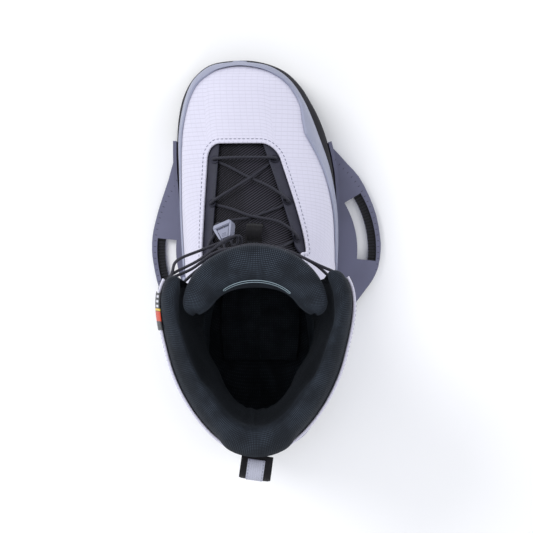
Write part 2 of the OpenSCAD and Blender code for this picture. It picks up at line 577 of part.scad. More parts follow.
module lace_studs_lateral() { lace_studs(1); }
module heel_loop() {
    color([0.2, 0.2, 0.25]) translate([-6.6, -147.2, 193]) rotate([0, 0, -8])
        loop_shape(6.5, 5.2, 22);
}
module heel_loop_stripe() {
    color([0.76, 0.76, 0.83]) translate([-6.6, -147.2, 193]) rotate([0, 0, -8])
        translate([-0.3, 0, 0]) difference() {
            loop_shape(7.1, 6.55, 12);
            translate([-20, -7.5, -20]) cube([40, 20, 40]);
        }
}
// A flattened ring of webbing, long way back from its seam
module loop_shape(r_out, r_in, wide) {
    rotate([90, 0, 90]) translate([0, 0, -wide / 2]) linear_extrude(wide) difference() {
        union() {
            translate([-8, 0]) circle(r = r_out, $fn = 64);
            polygon([[-8, r_out], [0, 2.6], [0, -2.6], [-8, -r_out]]);
        }
        translate([-8, 0]) circle(r = r_in, $fn = 64);
        polygon([[-8, r_in], [-1.6, 1.8], [-1.6, -1.8], [-8, -r_in]]);
    }
}
module side_tag() {
    color([0.6, 0.3, 0.25]) patch([15.55, 15.85, 16.2], span(275, 297, 6), flat(-1.6), flat(-0.8));
}

// ---------- upper tongue and its lace ----------
// Levels of the padded tongue: height, front, centre line, half width, half sweep of its
// arch in degrees, and thickness at the front and at the ends
TONGUE = [
    [151.5, -9, -34, 35, 66, 4.2, 4.2],
    [164, -9.5, -35, 36.6, 72, 6, 5],
    [178, -9.5, -36, 39.4, 78, 9, 6],
    [192, -8.5, -37, 42.6, 85, 13, 7],
    [204, -5, -38, 46, 91, 18, 9],
    [215, -1.5, -40, 48.2, 97, 23, 14],
    [225, 0.8, -41, 49.1, 100, 25.5, 17.5],
    [232, 1.4, -41, 49.3, 100, 25.5, 18],
    [237, -0.2, -41, 48.6, 100, 22, 15.5],
    [240.2, -4, -41, 45.6, 98, 14.5, 8],
    [241.4, -7.5, -41, 42.5, 97, 8, 3]
];
tongue_x = -7.8;
tongue_slope = 0.16;
// A point of the tongue's arch at a level, an angle of the arch, and a share of its depth
function tongue_point(t, a, deep) =
    let (r = TONGUE[t], w = pow(abs(a) / r[4], 2), ends = 1 - pow(abs(a) / r[4], 8) * 0.5,
         thick = mix(r[5], r[6], w), d = deep > 0 ? thick * (0.5 + 0.5 * ends)
                                                 : thick * (0.5 - 0.5 * ends),
         y = r[2] + (r[1] - r[2] - d) * cos(a))
    [tongue_x + (r[3] - d) * sin(a), y, r[0] + tongue_slope * y];
module upper_tongue() {
    rows = [0 : len(TONGUE) - 1];
    color([0.13, 0.14, 0.18]) skin(
        [for (t = rows) [for (a = range(-TONGUE[t][4], TONGUE[t][4], 20)) tongue_point(t, a, 0)]],
        [for (t = rows) [for (a = range(-TONGUE[t][4], TONGUE[t][4], 20)) tongue_point(t, a, 1)]]);
}
// Route of the upper lace: round the inner side's studs, over the tongue, round the outer
// side's studs and back
upper_lace_route = concat(
    stud_run(15.2, 302, [[-8, 1], [0, 5.5], [6, 1]]),
    [[-52, -15, 188], [-36, -4, 190], [-18, 0, 189], [0, 0.6, 186.5], [18, -4, 183],
     [34, -12, 180]],
    stud_run(14.1, 56, [[-7, -2], [-1, -5.4], [5, 0]]),
    stud_run(15.2, 56, [[5, 0], [-1, 5.4], [-7, 2]]),
    [[35, -12, 191], [18, -4, 192], [0, 1, 191.5], [-18, 0.8, 184], [-36, -7, 180],
     [-50, -17, 176]],
    stud_run(14.1, 302, [[6, -1], [0, -5.5], [-8, -1]]));
function stud_run(u, b, list) =
    let (f = skin_frame(u, b, 0)) [for (q = list) in_frame(f, [q[0], q[1], 3])];
module upper_lace() {
    color([0.3, 0.3, 0.33]) tube(smooth_line(upper_lace_route, 1), lace_d, 8);
}

// ---------- liner ----------
liner_us = concat([1.5, 2.1, 2.9, 3.7, 4.3, 4.9], [for (u = [5.7 : 0.8 : 8.9]) u],
    [for (u = [9.5 : 0.5 : 12]) u]);
module liner_foot() {
    inner_us = [for (u = liner_us) u < 3.7 ? mix(2.4, 3.7, (u - 1.5) / 2.2) : u];
    color([0.2, 0.21, 0.25]) skin(ring(liner_us, liner_out, 4), ring(inner_us, liner_in, 4),
        wrap = true, keep = function (i, j) i < 5 || j >= front_cols, cap = true);
}
module liner_flex_zone() {
    us = range(foot_top_u + 0.03, cuff_bottom_u - 0.03, 2);
    color([0.2, 0.21, 0.25]) patch(us, span(50, 306, 24), flat(liner_out), flat(liner_in));
}

chassis();
chassis_screws();
tee_nuts();
toe_pad();
heel_pad();
midsole();
lasting_board();
footbed();
vamp();
toe_rand();
heel_rand();
toe_stiffener();
heel_counter();
eyestay_medial();
eyestay_lateral();
lace_eyelets();
lower_tongue();
tongue_keeper();
lower_lace();
lower_lock_body();
lower_lock_button();
lower_lock_spring();
liner_foot();
shell_flex_zone();
liner_flex_zone();
tongue_flex_zone();
cuff();
cuff_binding();
liner_collar();
lace_studs_medial();
lace_studs_lateral();
heel_loop();
heel_loop_stripe();
side_tag();
upper_tongue();
upper_lace();
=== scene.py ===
import bpy
import bmesh
import json
import math
import numpy as np
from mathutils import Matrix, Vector


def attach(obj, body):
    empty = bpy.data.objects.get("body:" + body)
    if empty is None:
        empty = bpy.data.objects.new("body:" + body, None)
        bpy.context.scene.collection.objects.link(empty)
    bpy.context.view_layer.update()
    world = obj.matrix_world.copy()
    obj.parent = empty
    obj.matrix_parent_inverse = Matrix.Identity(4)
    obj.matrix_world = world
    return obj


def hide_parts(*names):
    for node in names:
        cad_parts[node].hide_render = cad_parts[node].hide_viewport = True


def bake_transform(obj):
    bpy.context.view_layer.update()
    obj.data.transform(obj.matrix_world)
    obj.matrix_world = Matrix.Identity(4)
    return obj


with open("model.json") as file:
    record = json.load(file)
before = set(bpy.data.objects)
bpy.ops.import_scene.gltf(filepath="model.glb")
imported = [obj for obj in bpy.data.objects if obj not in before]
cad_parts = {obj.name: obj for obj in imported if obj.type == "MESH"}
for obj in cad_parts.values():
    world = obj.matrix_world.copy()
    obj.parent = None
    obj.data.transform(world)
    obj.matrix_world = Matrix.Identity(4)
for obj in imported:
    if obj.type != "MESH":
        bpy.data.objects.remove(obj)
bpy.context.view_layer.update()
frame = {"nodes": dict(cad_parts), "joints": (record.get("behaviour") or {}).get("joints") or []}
NODES = frame["nodes"]
JOINTS = {j["name"]: j for j in frame["joints"]}
MM = 0.001

# Insets in mm from the boot's outer surface: the shell's inner face, the liner's two faces and the
# lower tongue's two faces
SHELL_IN, LINER_OUT, LINER_IN, TONGUE_OUT, TONGUE_IN = 1.9, 4.8, 11.5, 6.9, 11.0
# The inset of the eyestays' middle, where the eyelets sit, in mm
STAY_MID = 3.4
# The rim lies at the height RIM_HEIGHT + RIM_SLOPE * y, in mm
RIM_HEIGHT, RIM_SLOPE = 240.7, 0.164

# ---------------------------------------------------------------- the boot's surface, in mm
SECTIONS = np.array([
    [145.2, 29, 145.2, 33, 4, -21, 0.00, 2.2, 2.2],
    [142.6, 25, 142.6, 44, 19, -21, -0.04, 2.6, 2.2],
    [136.8, 24, 136.8, 53, 30, -20, -0.06, 3.2, 2.2],
    [128, 24, 128, 61, 38, -19, -0.08, 3.4, 2.3],
    [112, 24, 112, 68, 45, -17, -0.10, 3.6, 2.3],
    [88, 24, 88, 78, 51, -14, -0.12, 3.6, 2.3],
    [58, 24, 62, 90, 55, -9, -0.13, 3.6, 2.3],
    [20, 24, 36, 102, 57, -6, -0.13, 3.6, 2.3],
    [-30, 24, 18, 112, 56, -5, -0.12, 3.4, 2.3],
    [-90, 24, 8, 119, 53, -5, -0.11, 3.2, 2.3],
    [-136, 30, 4, 124, 50, -5, -0.08, 2.8, 2.2],
    [-153, 54, 2, 129, 49, -6, -0.04, 2.5, 2.2],
    [-149, 82, 0, 136, 49, -6, 0.02, 2.3, 2.2],
    [-143, 101, -2, 153, 51, -6, 0.08, 2.3, 2.2],
    [-141, 130, -4, 172, 55, -6, 0.14, 2.3, 2.4],
    [-142, 158, -4, 192, 59.8, -7, 0.20, 2.2, 2.7],
    [-144, 184, -3, 212, 62.6, -7, 0.26, 2.15, 3],
    [-145, 206, -1, 230, 62, -7, 0.26, 2.15, 3.1],
    [-144, 217, 2, 241, 60.5, -7, 0.26, 2.15, 3.1]], float)


def spline(p, u):
    p, u = np.asarray(p, float), np.asarray(u, float)
    n = len(p) - 1
    i = np.clip(np.floor(u).astype(int), 0, n - 1)
    t = (u - i)[..., None]
    a, b, c, d = p[np.maximum(i - 1, 0)], p[i], p[i + 1], p[np.minimum(i + 2, n)]
    return 0.5 * (2 * b + (c - a) * t + (2 * a - 5 * b + 4 * c - d) * t ** 2
                  + (3 * b - a - 3 * c + d) * t ** 3)


def power(v, e):
    return np.sign(v) * np.abs(v) ** e


def surf(u, b, d):
    """Points of the boot's surface at sections u, angles b in degrees and insets d, in mm."""
    u, b, d = np.broadcast_arrays(np.asarray(u, float), np.asarray(b, float), np.asarray(d, float))
    s = spline(SECTIONS, u)
    ey, ez = s[..., 2] - s[..., 0], s[..., 3] - s[..., 1]
    size = np.hypot(ey, ez)
    half = size / 2 - d
    cb, sb = np.cos(np.radians(b)), np.sin(np.radians(b))
    n = np.where(cb > 0, s[..., 8], s[..., 7])
    c, w = power(cb, 2 / n), power(sb, 2 / n)
    return np.stack([s[..., 5] + (s[..., 4] - d) * w * (1 + s[..., 6] * c),
                     (s[..., 0] + s[..., 2]) / 2 + ey / size * half * c,
                     (s[..., 1] + s[..., 3]) / 2 + ez / size * half * c], -1)


def edge_angle(u, x):
    """Angle of the upper half's point at sideways place x on section u."""
    s = spline(SECTIONS, u)
    dx = np.asarray(x, float) - s[..., 5]
    b = np.full(np.shape(dx), 40.0)
    for _ in range(5):
        c = power(np.cos(np.radians(b)), 2 / s[..., 8])
        near = np.abs(dx) / s[..., 4] / (1 + s[..., 6] * c)
        b = np.degrees(np.arcsin(np.minimum(0.97, near) ** (s[..., 8] / 2)))
    return np.sign(dx) * b


def mix(a, b, t):
    return a + (b - a) * np.clip(t, 0, 1)


def smooth(t):
    t = np.clip(t, 0, 1)
    return t * t * (3 - 2 * t)


THROAT_U = 5.3


def throat_x(y, side):
    return -45.7 - (70 - y) * 0.06 if side < 0 else 11 + (68 - y) * 0.33


def opening(u, side):
    u = float(u)
    if u < THROAT_U:
        return mix(-50 if side < 0 else 30, opening(THROAT_U, side), u / THROAT_U)
    if u > 9:
        return mix(opening(9, side), -50 if side < 0 else 46, (u - 9) / 3)
    return float(edge_angle(u, throat_x(spline(SECTIONS, u)[2], side)))


def unit(v):
    v = np.asarray(v, float)
    return v / np.maximum(np.linalg.norm(v, axis=-1, keepdims=True), 1e-12)


def frame_at(u, b, d):
    p = surf(u, b, d)
    across = unit(surf(u, b + 1, d) - surf(u, b - 1, d))
    up = unit(np.cross(across, surf(u - 0.05, b, d) - surf(u + 0.05, b, d)))
    return across, np.cross(up, across), up, p


def in_frame(f, v):
    return f[3] + f[0] * v[0] + f[1] * v[1] + f[2] * v[2]


def turned(f, a):
    c, s = math.cos(math.radians(a)), math.sin(math.radians(a))
    return f[0] * c + f[1] * s, f[1] * c - f[0] * s, f[2], f[3]


# ---------------------------------------------------------------- meshes
def running(lengths):
    """Distances from the start, for a row of lengths."""
    return np.concatenate([[0], np.cumsum(lengths)])


def run_of(p):
    """Distances along a line of points."""
    return running(np.linalg.norm(np.diff(p, axis=0), axis=1))


def new_object(name, verts, faces, corners=None):
    """A mesh object from points in mm. corners holds each face's own (u, v) points, in mm."""
    me = bpy.data.meshes.new(name)
    me.from_pydata((np.asarray(verts) * MM).tolist(), [], [list(map(int, f)) for f in faces])
    if corners is not None:
        layer = me.uv_layers.new(name="UVMap")
        flat = np.array([c for face in corners for c in face], np.float32)
        layer.data.foreach_set("uv", flat.ravel())
    me.polygons.foreach_set("use_smooth", [True] * len(me.polygons))
    me.update()
    ob = bpy.data.objects.new(name, me)
    bpy.context.scene.collection.objects.link(ob)
    return ob


def grid_uv(pts, wrap=False):
    """Distances in mm along the rows and the columns of a grid of points."""
    ext = np.concatenate([pts, pts[:, :1]], 1) if wrap else pts
    along = np.linalg.norm(np.diff(ext, axis=1), axis=2)
    x = np.concatenate([np.zeros((len(ext), 1)), np.cumsum(along, 1)], 1)
    x = x - x[:, [ext.shape[1] // 2]]
    down = running(np.linalg.norm(np.diff(pts, axis=0), axis=2).mean(1))
    y = down[:, None] * np.ones((1, ext.shape[1]))
    return np.stack([x, y], -1)


def shell_mesh(name, outer, inner, wrap=False, keep=None, cap=False, uv=None):
    """A closed skin between two grids of points, with walls along its edges."""
    rows, cols = outer.shape[:2]
    cells = cols if wrap else cols - 1
    m = rows * cols
    kept = np.ones((rows - 1, cells), bool) if keep is None else keep
    flat = grid_uv(outer, wrap) if uv is None else uv
    faces, corners = [], []

    def add(*points):
        faces.append([k * m + i * cols + j % cols for i, j, k in points])
        corners.append([flat[i, j] for i, j, k in points])

    for i in range(rows - 1):
        for j in range(cells):
            if not kept[i, j]:
                continue
            add((i, j, 0), (i + 1, j, 0), (i + 1, j + 1, 0), (i, j + 1, 0))
            add((i, j, 1), (i, j + 1, 1), (i + 1, j + 1, 1), (i + 1, j, 1))
            if not (i and kept[i - 1, j]) and not (cap and i == 0):
                add((i, j, 0), (i, j + 1, 0), (i, j + 1, 1), (i, j, 1))
            if i == rows - 2 or not kept[i + 1, j]:
                add((i + 1, j + 1, 0), (i + 1, j, 0), (i + 1, j, 1), (i + 1, j + 1, 1))
            if (not wrap and j == 0) or not kept[i, j - 1]:
                add((i + 1, j, 0), (i, j, 0), (i, j, 1), (i + 1, j, 1))
            if (not wrap and j == cells - 1) or not kept[i, (j + 1) % cells]:
                add((i, j + 1, 0), (i + 1, j + 1, 0), (i + 1, j + 1, 1), (i, j + 1, 1))
    verts = np.concatenate([outer.reshape(-1, 3), inner.reshape(-1, 3)])
    if cap:
        verts = np.concatenate([verts, outer[:1].mean(1), inner[:1].mean(1)])
        for j in range(cells):
            p, q = j, (j + 1) % cols
            faces += [[2 * m, p, q], [2 * m + 1, m + q, m + p]]
            corners += [[flat[0, j], flat[0, j], flat[0, j + 1]]] * 2
    ob = new_object(name, verts, faces, corners)
    tidy_mesh(ob)
    return ob


def loft(name, rings):
    """A closed body through rings of points, one after another."""
    n, m = rings.shape[:2]
    ext = np.concatenate([rings, rings[:, :1]], 1)
    around = running(np.linalg.norm(np.diff(ext, axis=1), axis=2).max(0))
    along = running(np.linalg.norm(np.diff(rings, axis=0), axis=2).max(1))
    faces, corners = [], []
    for i in range(n - 1):
        for j in range(m):
            k = (j + 1) % m
            faces.append([i * m + j, (i + 1) * m + j, (i + 1) * m + k, i * m + k])
            corners.append([(along[i], around[j]), (along[i + 1], around[j]),
                            (along[i + 1], around[j + 1]), (along[i], around[j + 1])])
    for i in (0, n - 1):
        faces.append([i * m + j for j in range(m)])
        corners.append([(along[i], around[j]) for j in range(m)])
    ob = new_object(name, rings.reshape(-1, 3), faces, corners)
    tidy_mesh(ob)
    return ob


def tidy_mesh(ob, merge=False):
    """Clears loose points and turns the faces outward. merge first closes seams and tiny edges."""
    bm = bmesh.new()
    bm.from_mesh(ob.data)
    if merge:
        bmesh.ops.remove_doubles(bm, verts=bm.verts, dist=0.00002)
        bmesh.ops.dissolve_degenerate(bm, edges=bm.edges, dist=0.00001)
    bmesh.ops.delete(bm, geom=[v for v in bm.verts if not v.link_faces], context="VERTS")
    bmesh.ops.recalc_face_normals(bm, faces=bm.faces)
    bm.to_mesh(ob.data)
    bm.free()


def bake(ob):
    """Applies the object's modifiers."""
    bpy.context.view_layer.update()
    done = bpy.data.meshes.new_from_object(ob.evaluated_get(bpy.context.evaluated_depsgraph_get()))
    ob.modifiers.clear()
    ob.data = done
    return ob


def add_bevel(ob, width, segments, angle):
    """Adds a modifier that rounds the edges sharper than angle by width, in mm."""
    m = ob.modifiers.new("round", "BEVEL")
    m.width, m.segments, m.limit_method = width * MM, segments, "ANGLE"
    m.angle_limit = math.radians(angle)


def soften(ob, width, segments, angle):
    """Rounds those edges for good."""
    add_bevel(ob, width, segments, angle)
    return bake(ob)


def subdivided(ob, levels=1):
    m = ob.modifiers.new("smooth", "SUBSURF")
    m.levels = m.render_levels = levels
    m.uv_smooth = "PRESERVE_BOUNDARIES"
    return bake(ob)


def line_of(p, per):
    """A smooth line of points through p, per steps between each pair."""
    p = np.asarray(p, float)
    return spline(p, np.linspace(0, len(p) - 1, (len(p) - 1) * per + 1))


def resample(p, step):
    p = np.asarray(p, float)
    run = run_of(p)
    n = max(2, int(round(run[-1] / step)) + 1)
    s = np.linspace(0, run[-1], n)
    return np.stack([np.interp(s, run, p[:, k]) for k in range(3)], 1)


def carried(path):
    """Tangents and a twist-free pair of normals along a path."""
    t = unit(np.gradient(path, axis=0))
    n = np.cross(t[0], [0, 0, 1.0] if abs(t[0][2]) < 0.9 else [1.0, 0, 0])
    normals = []
    for k in range(len(path)):
        n = unit(n - t[k] * (n @ t[k]))
        normals.append(n)
    normals = np.array(normals)
    return t, normals, np.cross(t, normals)


def tube_mesh(name, path, radius, sides=14, round_ends=True):
    """A round cord along a path in mm, with its UVs in mm."""
    t, n, s = carried(path)
    a = np.linspace(0, 2 * np.pi, sides + 1)
    r = np.full(len(path), radius, float)
    if round_ends:
        path = np.concatenate([[path[0] - t[0] * radius * 0.5], path, [path[-1] + t[-1] * radius * 0.5]])
        n, s = np.concatenate([n[:1], n, n[-1:]]), np.concatenate([s[:1], s, s[-1:]])
        r = np.concatenate([[radius * 0.55], r, [radius * 0.55]])
    ring = path[:, None] + r[:, None, None] * (np.cos(a)[None, :, None] * n[:, None]
                                                + np.sin(a)[None, :, None] * s[:, None])
    run = run_of(path)
    verts = ring[:, :-1].reshape(-1, 3)
    faces, uv = [], []
    rows = len(path)
    for i in range(rows - 1):
        for j in range(sides):
            k = (j + 1) % sides
            faces.append((i * sides + j, i * sides + k, (i + 1) * sides + k, (i + 1) * sides + j))
            uv += [(j, i), (j + 1, i), (j + 1, i + 1), (j, i + 1)]
    ends = [tuple(range(sides))[::-1], tuple((rows - 1) * sides + j for j in range(sides))]
    ob = new_object(name, verts, faces + ends)
    layer = ob.data.uv_layers.new(name="UVMap")
    uv = np.array(uv, float)
    flat = np.stack([uv[:, 0] * 2 * np.pi * radius / sides, run[uv[:, 1].astype(int)]], 1)
    flat = np.concatenate([flat, np.zeros((len(ob.data.loops) - len(flat), 2))])
    layer.data.foreach_set("uv", flat.astype(np.float32).ravel())
    return ob


def strap_mesh(name, path, side, width, thick):
    """A flat strap along a path, side giving the direction across it."""
    path = np.asarray(path, float)
    side = np.tile(unit(side), (len(path), 1))
    up = unit(np.cross(side, unit(np.gradient(path, axis=0))))
    half = np.linspace(-1, 1, 14)
    lift = np.sqrt(np.maximum(0, 1 - np.abs(half) ** 8)) * 0.5
    middle = path[:, None] + side[:, None] * half[None, :, None] * width / 2
    rise = up[:, None] * (lift[None, :, None] * thick)
    top, low = middle + rise, middle - rise
    top[:, [0, -1]] -= up[:, None] * 0.02
    return shell_mesh(name, top, low - up[:, None] * 0.02)


def stitch_row(name, path, normal, pitch, length, radius, lift=0.0):
    """Separate thread stitches along a line on a surface, in mm."""
    path, normal = np.asarray(path, float), np.asarray(normal, float)
    run = run_of(path)

    def at(values, s):
        return np.array([np.interp(s, run, values[:, k]) for k in range(3)])

    verts, faces = [], []
    # along, wide and high shares of one stitch
    prof = [(-0.5, 0.45, -0.6), (-0.38, 1, 0), (0, 1.1, 0.35), (0.38, 1, 0), (0.5, 0.45, -0.6)]
    for s in np.arange(pitch / 2, run[-1] - length / 2, pitch):
        p, n = at(path, s), unit(at(normal, s))
        t = unit(at(path, s + 0.5) - p)
        side = unit(np.cross(n, t))
        base = len(verts)
        for along, wide, high in prof:
            c = p + t * along * length + n * (lift + radius * high)
            for a in range(6):
                w = math.radians(60 * a)
                verts.append(c + radius * wide * (math.cos(w) * side + math.sin(w) * n * 0.75))
        for k in range(4):
            i = base + 6 * k
            for a in range(6):
                b = (a + 1) % 6
                faces.append((i + a, i + b, i + 6 + b, i + 6 + a))
        faces.append(tuple(base + a for a in range(6))[::-1])
        faces.append(tuple(base + 24 + a for a in range(6)))
    ob = new_object(name, verts, faces)
    tidy_mesh(ob)
    return ob


# ---------------------------------------------------------------- materials
class Paint:
    """Builds one procedural material, mostly from a piece's own UVs in mm."""

    def __init__(self, name, rough=0.6, metallic=0.0, sheen=0.0, spec=0.5, coat=0.0):
        self.mat = bpy.data.materials.new(name)
        self.mat.use_nodes = True
        self.nt = self.mat.node_tree
        self.bsdf = self.nt.nodes["Principled BSDF"]
        self.set(self.bsdf, "Roughness", rough)
        self.set(self.bsdf, "Metallic", metallic)
        self.set(self.bsdf, "Sheen Weight", sheen)
        self.set(self.bsdf, "Specular IOR Level", spec)
        self.set(self.bsdf, "Coat Weight", coat)

    def set(self, node, socket, value):
        if hasattr(value, "is_output"):
            self.nt.links.new(value, node.inputs[socket])
        else:
            node.inputs[socket].default_value = value

    def node(self, kind, **props):
        n = self.nt.nodes.new(kind)
        for k, v in props.items():
            setattr(n, k, v)
        return n

    def math(self, op, a, b=0.0, c=0.0):
        n = self.node("ShaderNodeMath", operation=op)
        for k, v in enumerate((a, b, c)):
            self.set(n, k, v)
        return n.outputs[0]

    def uv(self):
        n = self.node("ShaderNodeUVMap", uv_map="UVMap")
        s = self.node("ShaderNodeSeparateXYZ")
        self.set(s, 0, n.outputs[0])
        return s.outputs[0], s.outputs[1], n.outputs[0]

    def place(self, scale=1000.0):
        """The point on the object, in mm."""
        n = self.node("ShaderNodeTexCoord")
        v = self.node("ShaderNodeVectorMath", operation="SCALE")
        self.set(v, 0, n.outputs["Object"])
        v.inputs["Scale"].default_value = scale
        s = self.node("ShaderNodeSeparateXYZ")
        self.set(s, 0, v.outputs[0])
        return s.outputs[0], s.outputs[1], s.outputs[2], v.outputs[0]

    def mul(self, a, b):
        return self.math("MULTIPLY", a, b)

    def add(self, a, b):
        return self.math("ADD", a, b)

    def sub(self, a, b):
        return self.math("SUBTRACT", a, b)

    def far(self, a, b):
        """How far the point (a, b) is from (0, 0)."""
        return self.math("SQRT", self.add(self.mul(a, a), self.mul(b, b)))

    def within(self, x, low, high, soft):
        """1 between low and high and 0 outside, with soft edges."""
        return self.mul(self.ramp(x, low, low + soft), self.ramp(x, high, high - soft))

    def noise(self, vector, scale, detail=3.0):
        n = self.node("ShaderNodeTexNoise")
        self.set(n, "Vector", vector)
        self.set(n, "Scale", scale)
        self.set(n, "Detail", detail)
        self.set(n, "Roughness", 0.5)
        return n.outputs["Fac"]

    def wave(self, a, pitch, phase=0.0):
        """A smooth ripple from 0 to 1 along a, one for each pitch in mm."""
        x = self.math("MULTIPLY_ADD", a, 2 * math.pi / pitch, phase)
        return self.math("MULTIPLY_ADD", self.math("SINE", x), 0.5, 0.5)

    def line(self, a, pitch, share):
        """1 on thin lines, one for each pitch in mm, share of it wide, and 0 between."""
        x = self.math("ABSOLUTE", self.cell(a, pitch))
        return self.ramp(x, 0.5 - share * 0.7, 0.5 - share * 0.3)

    def cell(self, a, pitch):
        """Place within a cell of a pattern, from -0.5 to 0.5."""
        return self.sub(self.math("FRACT", self.math("DIVIDE", a, pitch)), 0.5)

    def ramp(self, x, low, high, to_low=0.0, to_high=1.0):
        n = self.node("ShaderNodeMapRange", interpolation_type="SMOOTHSTEP")
        self.set(n, "Value", x)
        for k, v in (("From Min", low), ("From Max", high), ("To Min", to_low), ("To Max", to_high)):
            n.inputs[k].default_value = v
        return n.outputs["Result"]

    def colour(self, fac, a, b):
        n = self.node("ShaderNodeMix", data_type="RGBA")
        self.set(n, 0, fac)
        for k, v in ((6, a), (7, b)):
            self.set(n, k, v if hasattr(v, "is_output") else (*v, 1.0))
        return n.outputs[2]

    def bump(self, height, strength=0.5, distance=0.0003, under=None):
        n = self.node("ShaderNodeBump")
        self.set(n, "Height", height)
        self.set(n, "Strength", strength)
        self.set(n, "Distance", distance)
        if under is not None:
            self.set(n, "Normal", under)
        return n.outputs[0]

    def done(self, colour=None, rough=None, normal=None):
        if colour is not None:
            self.set(self.bsdf, "Base Color", colour if hasattr(colour, "is_output") else (*colour, 1.0))
        if rough is not None:
            self.set(self.bsdf, "Roughness", rough)
        if normal is not None:
            self.set(self.bsdf, "Normal", normal)
        return self.mat


def rgb(r, g, b):
    """Linear colour of an sRGB one given from 0 to 255."""
    return tuple(c / 12.92 if c <= 0.04045 else ((c + 0.055) / 1.055) ** 2.4
                 for c in (r / 255, g / 255, b / 255))


def scaled(c, k):
    return tuple(min(1.0, v * k) for v in c)


def ripstop(name, base):
    p = Paint(name, rough=0.5, sheen=0.15)
    u, v, uv = p.uv()
    cross = p.line(v, 3.5, 0.13)
    length = p.line(u, 4.8, 0.1)
    lines = p.math("MAXIMUM", cross, p.mul(length, 0.45))
    weave = p.mul(p.wave(u, 0.6), p.wave(v, 0.6))
    broad = p.noise(uv, 0.05, 3)
    c = p.colour(p.mul(lines, 0.42), base, scaled(base, 0.62))
    c = p.colour(p.ramp(broad, 0.35, 0.75, 0, 0.12), c, scaled(base, 0.8))
    h = p.math("MULTIPLY_ADD", weave, 0.25, lines)
    n = p.bump(h, 0.35, 0.00022)
    n = p.bump(p.noise(uv, 0.09, 2), 0.5, 0.0009, n)
    return p.done(c, p.ramp(p.noise(uv, 0.2), 0.3, 0.7, 0.44, 0.56), n)


def rubber(name, base, grain=0.8, rough=0.62):
    p = Paint(name, rough=rough)
    x, y, z, v = p.place()
    fine = p.noise(v, 2.2 / grain, 3)
    broad = p.noise(v, 0.03, 3)
    c = p.colour(p.ramp(broad, 0.3, 0.7, 0, 0.35), base, scaled(base, 0.8))
    n = p.bump(fine, 0.3, 0.00015)
    return p.done(c, p.ramp(broad, 0.3, 0.7, rough - 0.06, rough + 0.08), n)


def ribbed(name, base, pitch=2.1, sheen=0.05):
    """Heavy woven nylon with slanting ribs, crossed by finer ones on the inner side."""
    p = Paint(name, rough=0.66, sheen=sheen, spec=0.2)
    u, v, uv = p.uv()
    ribs = p.wave(p.math("MULTIPLY_ADD", u, 0.72, v), pitch)
    cross = p.wave(p.math("MULTIPLY_ADD", u, -1.15, v), pitch * 0.95)
    inner = p.ramp(u, 6.0, -8.0, 0.15, 0.75)
    h = p.mul(ribs, p.sub(1.0, p.mul(inner, cross)))
    c = p.colour(p.ramp(h, 0.2, 0.75), scaled(base, 0.2), scaled(base, 2.4))
    return p.done(c, None, p.bump(h, 1.0, 0.0008))


def mesh_cloth(name, base, dot_and_sheen, pitch=1.45, sheen=0.45, deep=0.0):
    """Dark padded mesh with rows of small dots, their light colour partly painted sheen. deep sets how dark
    the painted shade gets well below the boot's rim.
    """
    p = Paint(name, rough=0.78, sheen=sheen, spec=0.15)
    p.set(p.bsdf, "Sheen Tint", (0.55, 0.65, 0.8, 1))
    p.set(p.bsdf, "Sheen Roughness", 0.45)
    u, v, uv = p.uv()
    r = p.far(p.cell(u, pitch), p.cell(v, pitch))
    dots = p.ramp(r, 0.32, 0.14)
    patchy = p.noise(uv, 0.055, 3)
    c = p.colour(p.ramp(patchy, 0.3, 0.7), scaled(base, 0.8), scaled(base, 1.25))
    # The dots are the mesh's own pattern; their light colour is partly painted sheen, in place of a higher
    # sheen weight
    c = p.colour(p.mul(dots, p.ramp(patchy, 0.35, 0.65, 0.25, 0.8)), c, dot_and_sheen)
    x, y, z, place = p.place()
    # Painted shade: from the rim to 20 mm below it the cloth darkens towards a quarter of its base colour, by
    # deep at most
    below = p.sub(p.math("MULTIPLY_ADD", y, RIM_SLOPE, RIM_HEIGHT), z)
    c = p.colour(p.ramp(below, -1, 20, 0, deep), c, scaled(base, 0.25))
    n = p.bump(dots, 0.6, 0.0004)
    n = p.bump(patchy, 0.35, 0.0012, n)
    return p.done(c, None, n)


def webbing(name, base, across=1.5, tooth=0.8):
    p = Paint(name, rough=0.72, sheen=0.08, spec=0.2)
    u, v, uv = p.uv()
    zig = p.add(v, p.mul(p.math("PINGPONG", u, across), 0.8))
    h = p.mul(p.wave(zig, tooth), p.math("MULTIPLY_ADD", p.wave(u, across), 0.4, 0.6))
    c = p.colour(p.ramp(h, 0.1, 0.7), scaled(base, 0.6), scaled(base, 1.15))
    return p.done(c, None, p.bump(h, 0.7, 0.00035))


def braid(name, base):
    p = Paint(name, rough=0.64, sheen=0.05, spec=0.25)
    u, v, uv = p.uv()
    one = p.wave(p.math("MULTIPLY_ADD", u, 1.0, p.mul(v, 0.8)), 1.36)
    two = p.wave(p.math("MULTIPLY_ADD", u, -1.0, p.mul(v, 0.8)), 1.36)
    h = p.math("MAXIMUM", one, two)
    c = p.colour(p.ramp(h, 0.45, 0.95), scaled(base, 0.45), scaled(base, 1.25))
    return p.done(c, None, p.bump(h, 0.8, 0.0003))


def plastic(name, base, rough=0.42, grain=0.12):
    p = Paint(name, rough=rough)
    x, y, z, v = p.place()
    fine = p.noise(v, 3.0, 2)
    broad = p.noise(v, 0.06, 3)
    c = p.colour(p.ramp(broad, 0.35, 0.65), scaled(base, 0.92), scaled(base, 1.06))
    return p.done(c, p.ramp(fine, 0.3, 0.7, rough - 0.05, rough + 0.07), p.bump(fine, grain, 0.0001))


def metal(name, base, rough=0.35):
    p = Paint(name, rough=rough, metallic=0.9)
    x, y, z, v = p.place()
    f = p.noise(v, 1.5, 4)
    c = p.colour(f, scaled(base, 0.8), scaled(base, 1.15))
    return p.done(c, p.ramp(f, 0.3, 0.7, rough - 0.1, rough + 0.12), p.bump(f, 0.1, 0.0001))


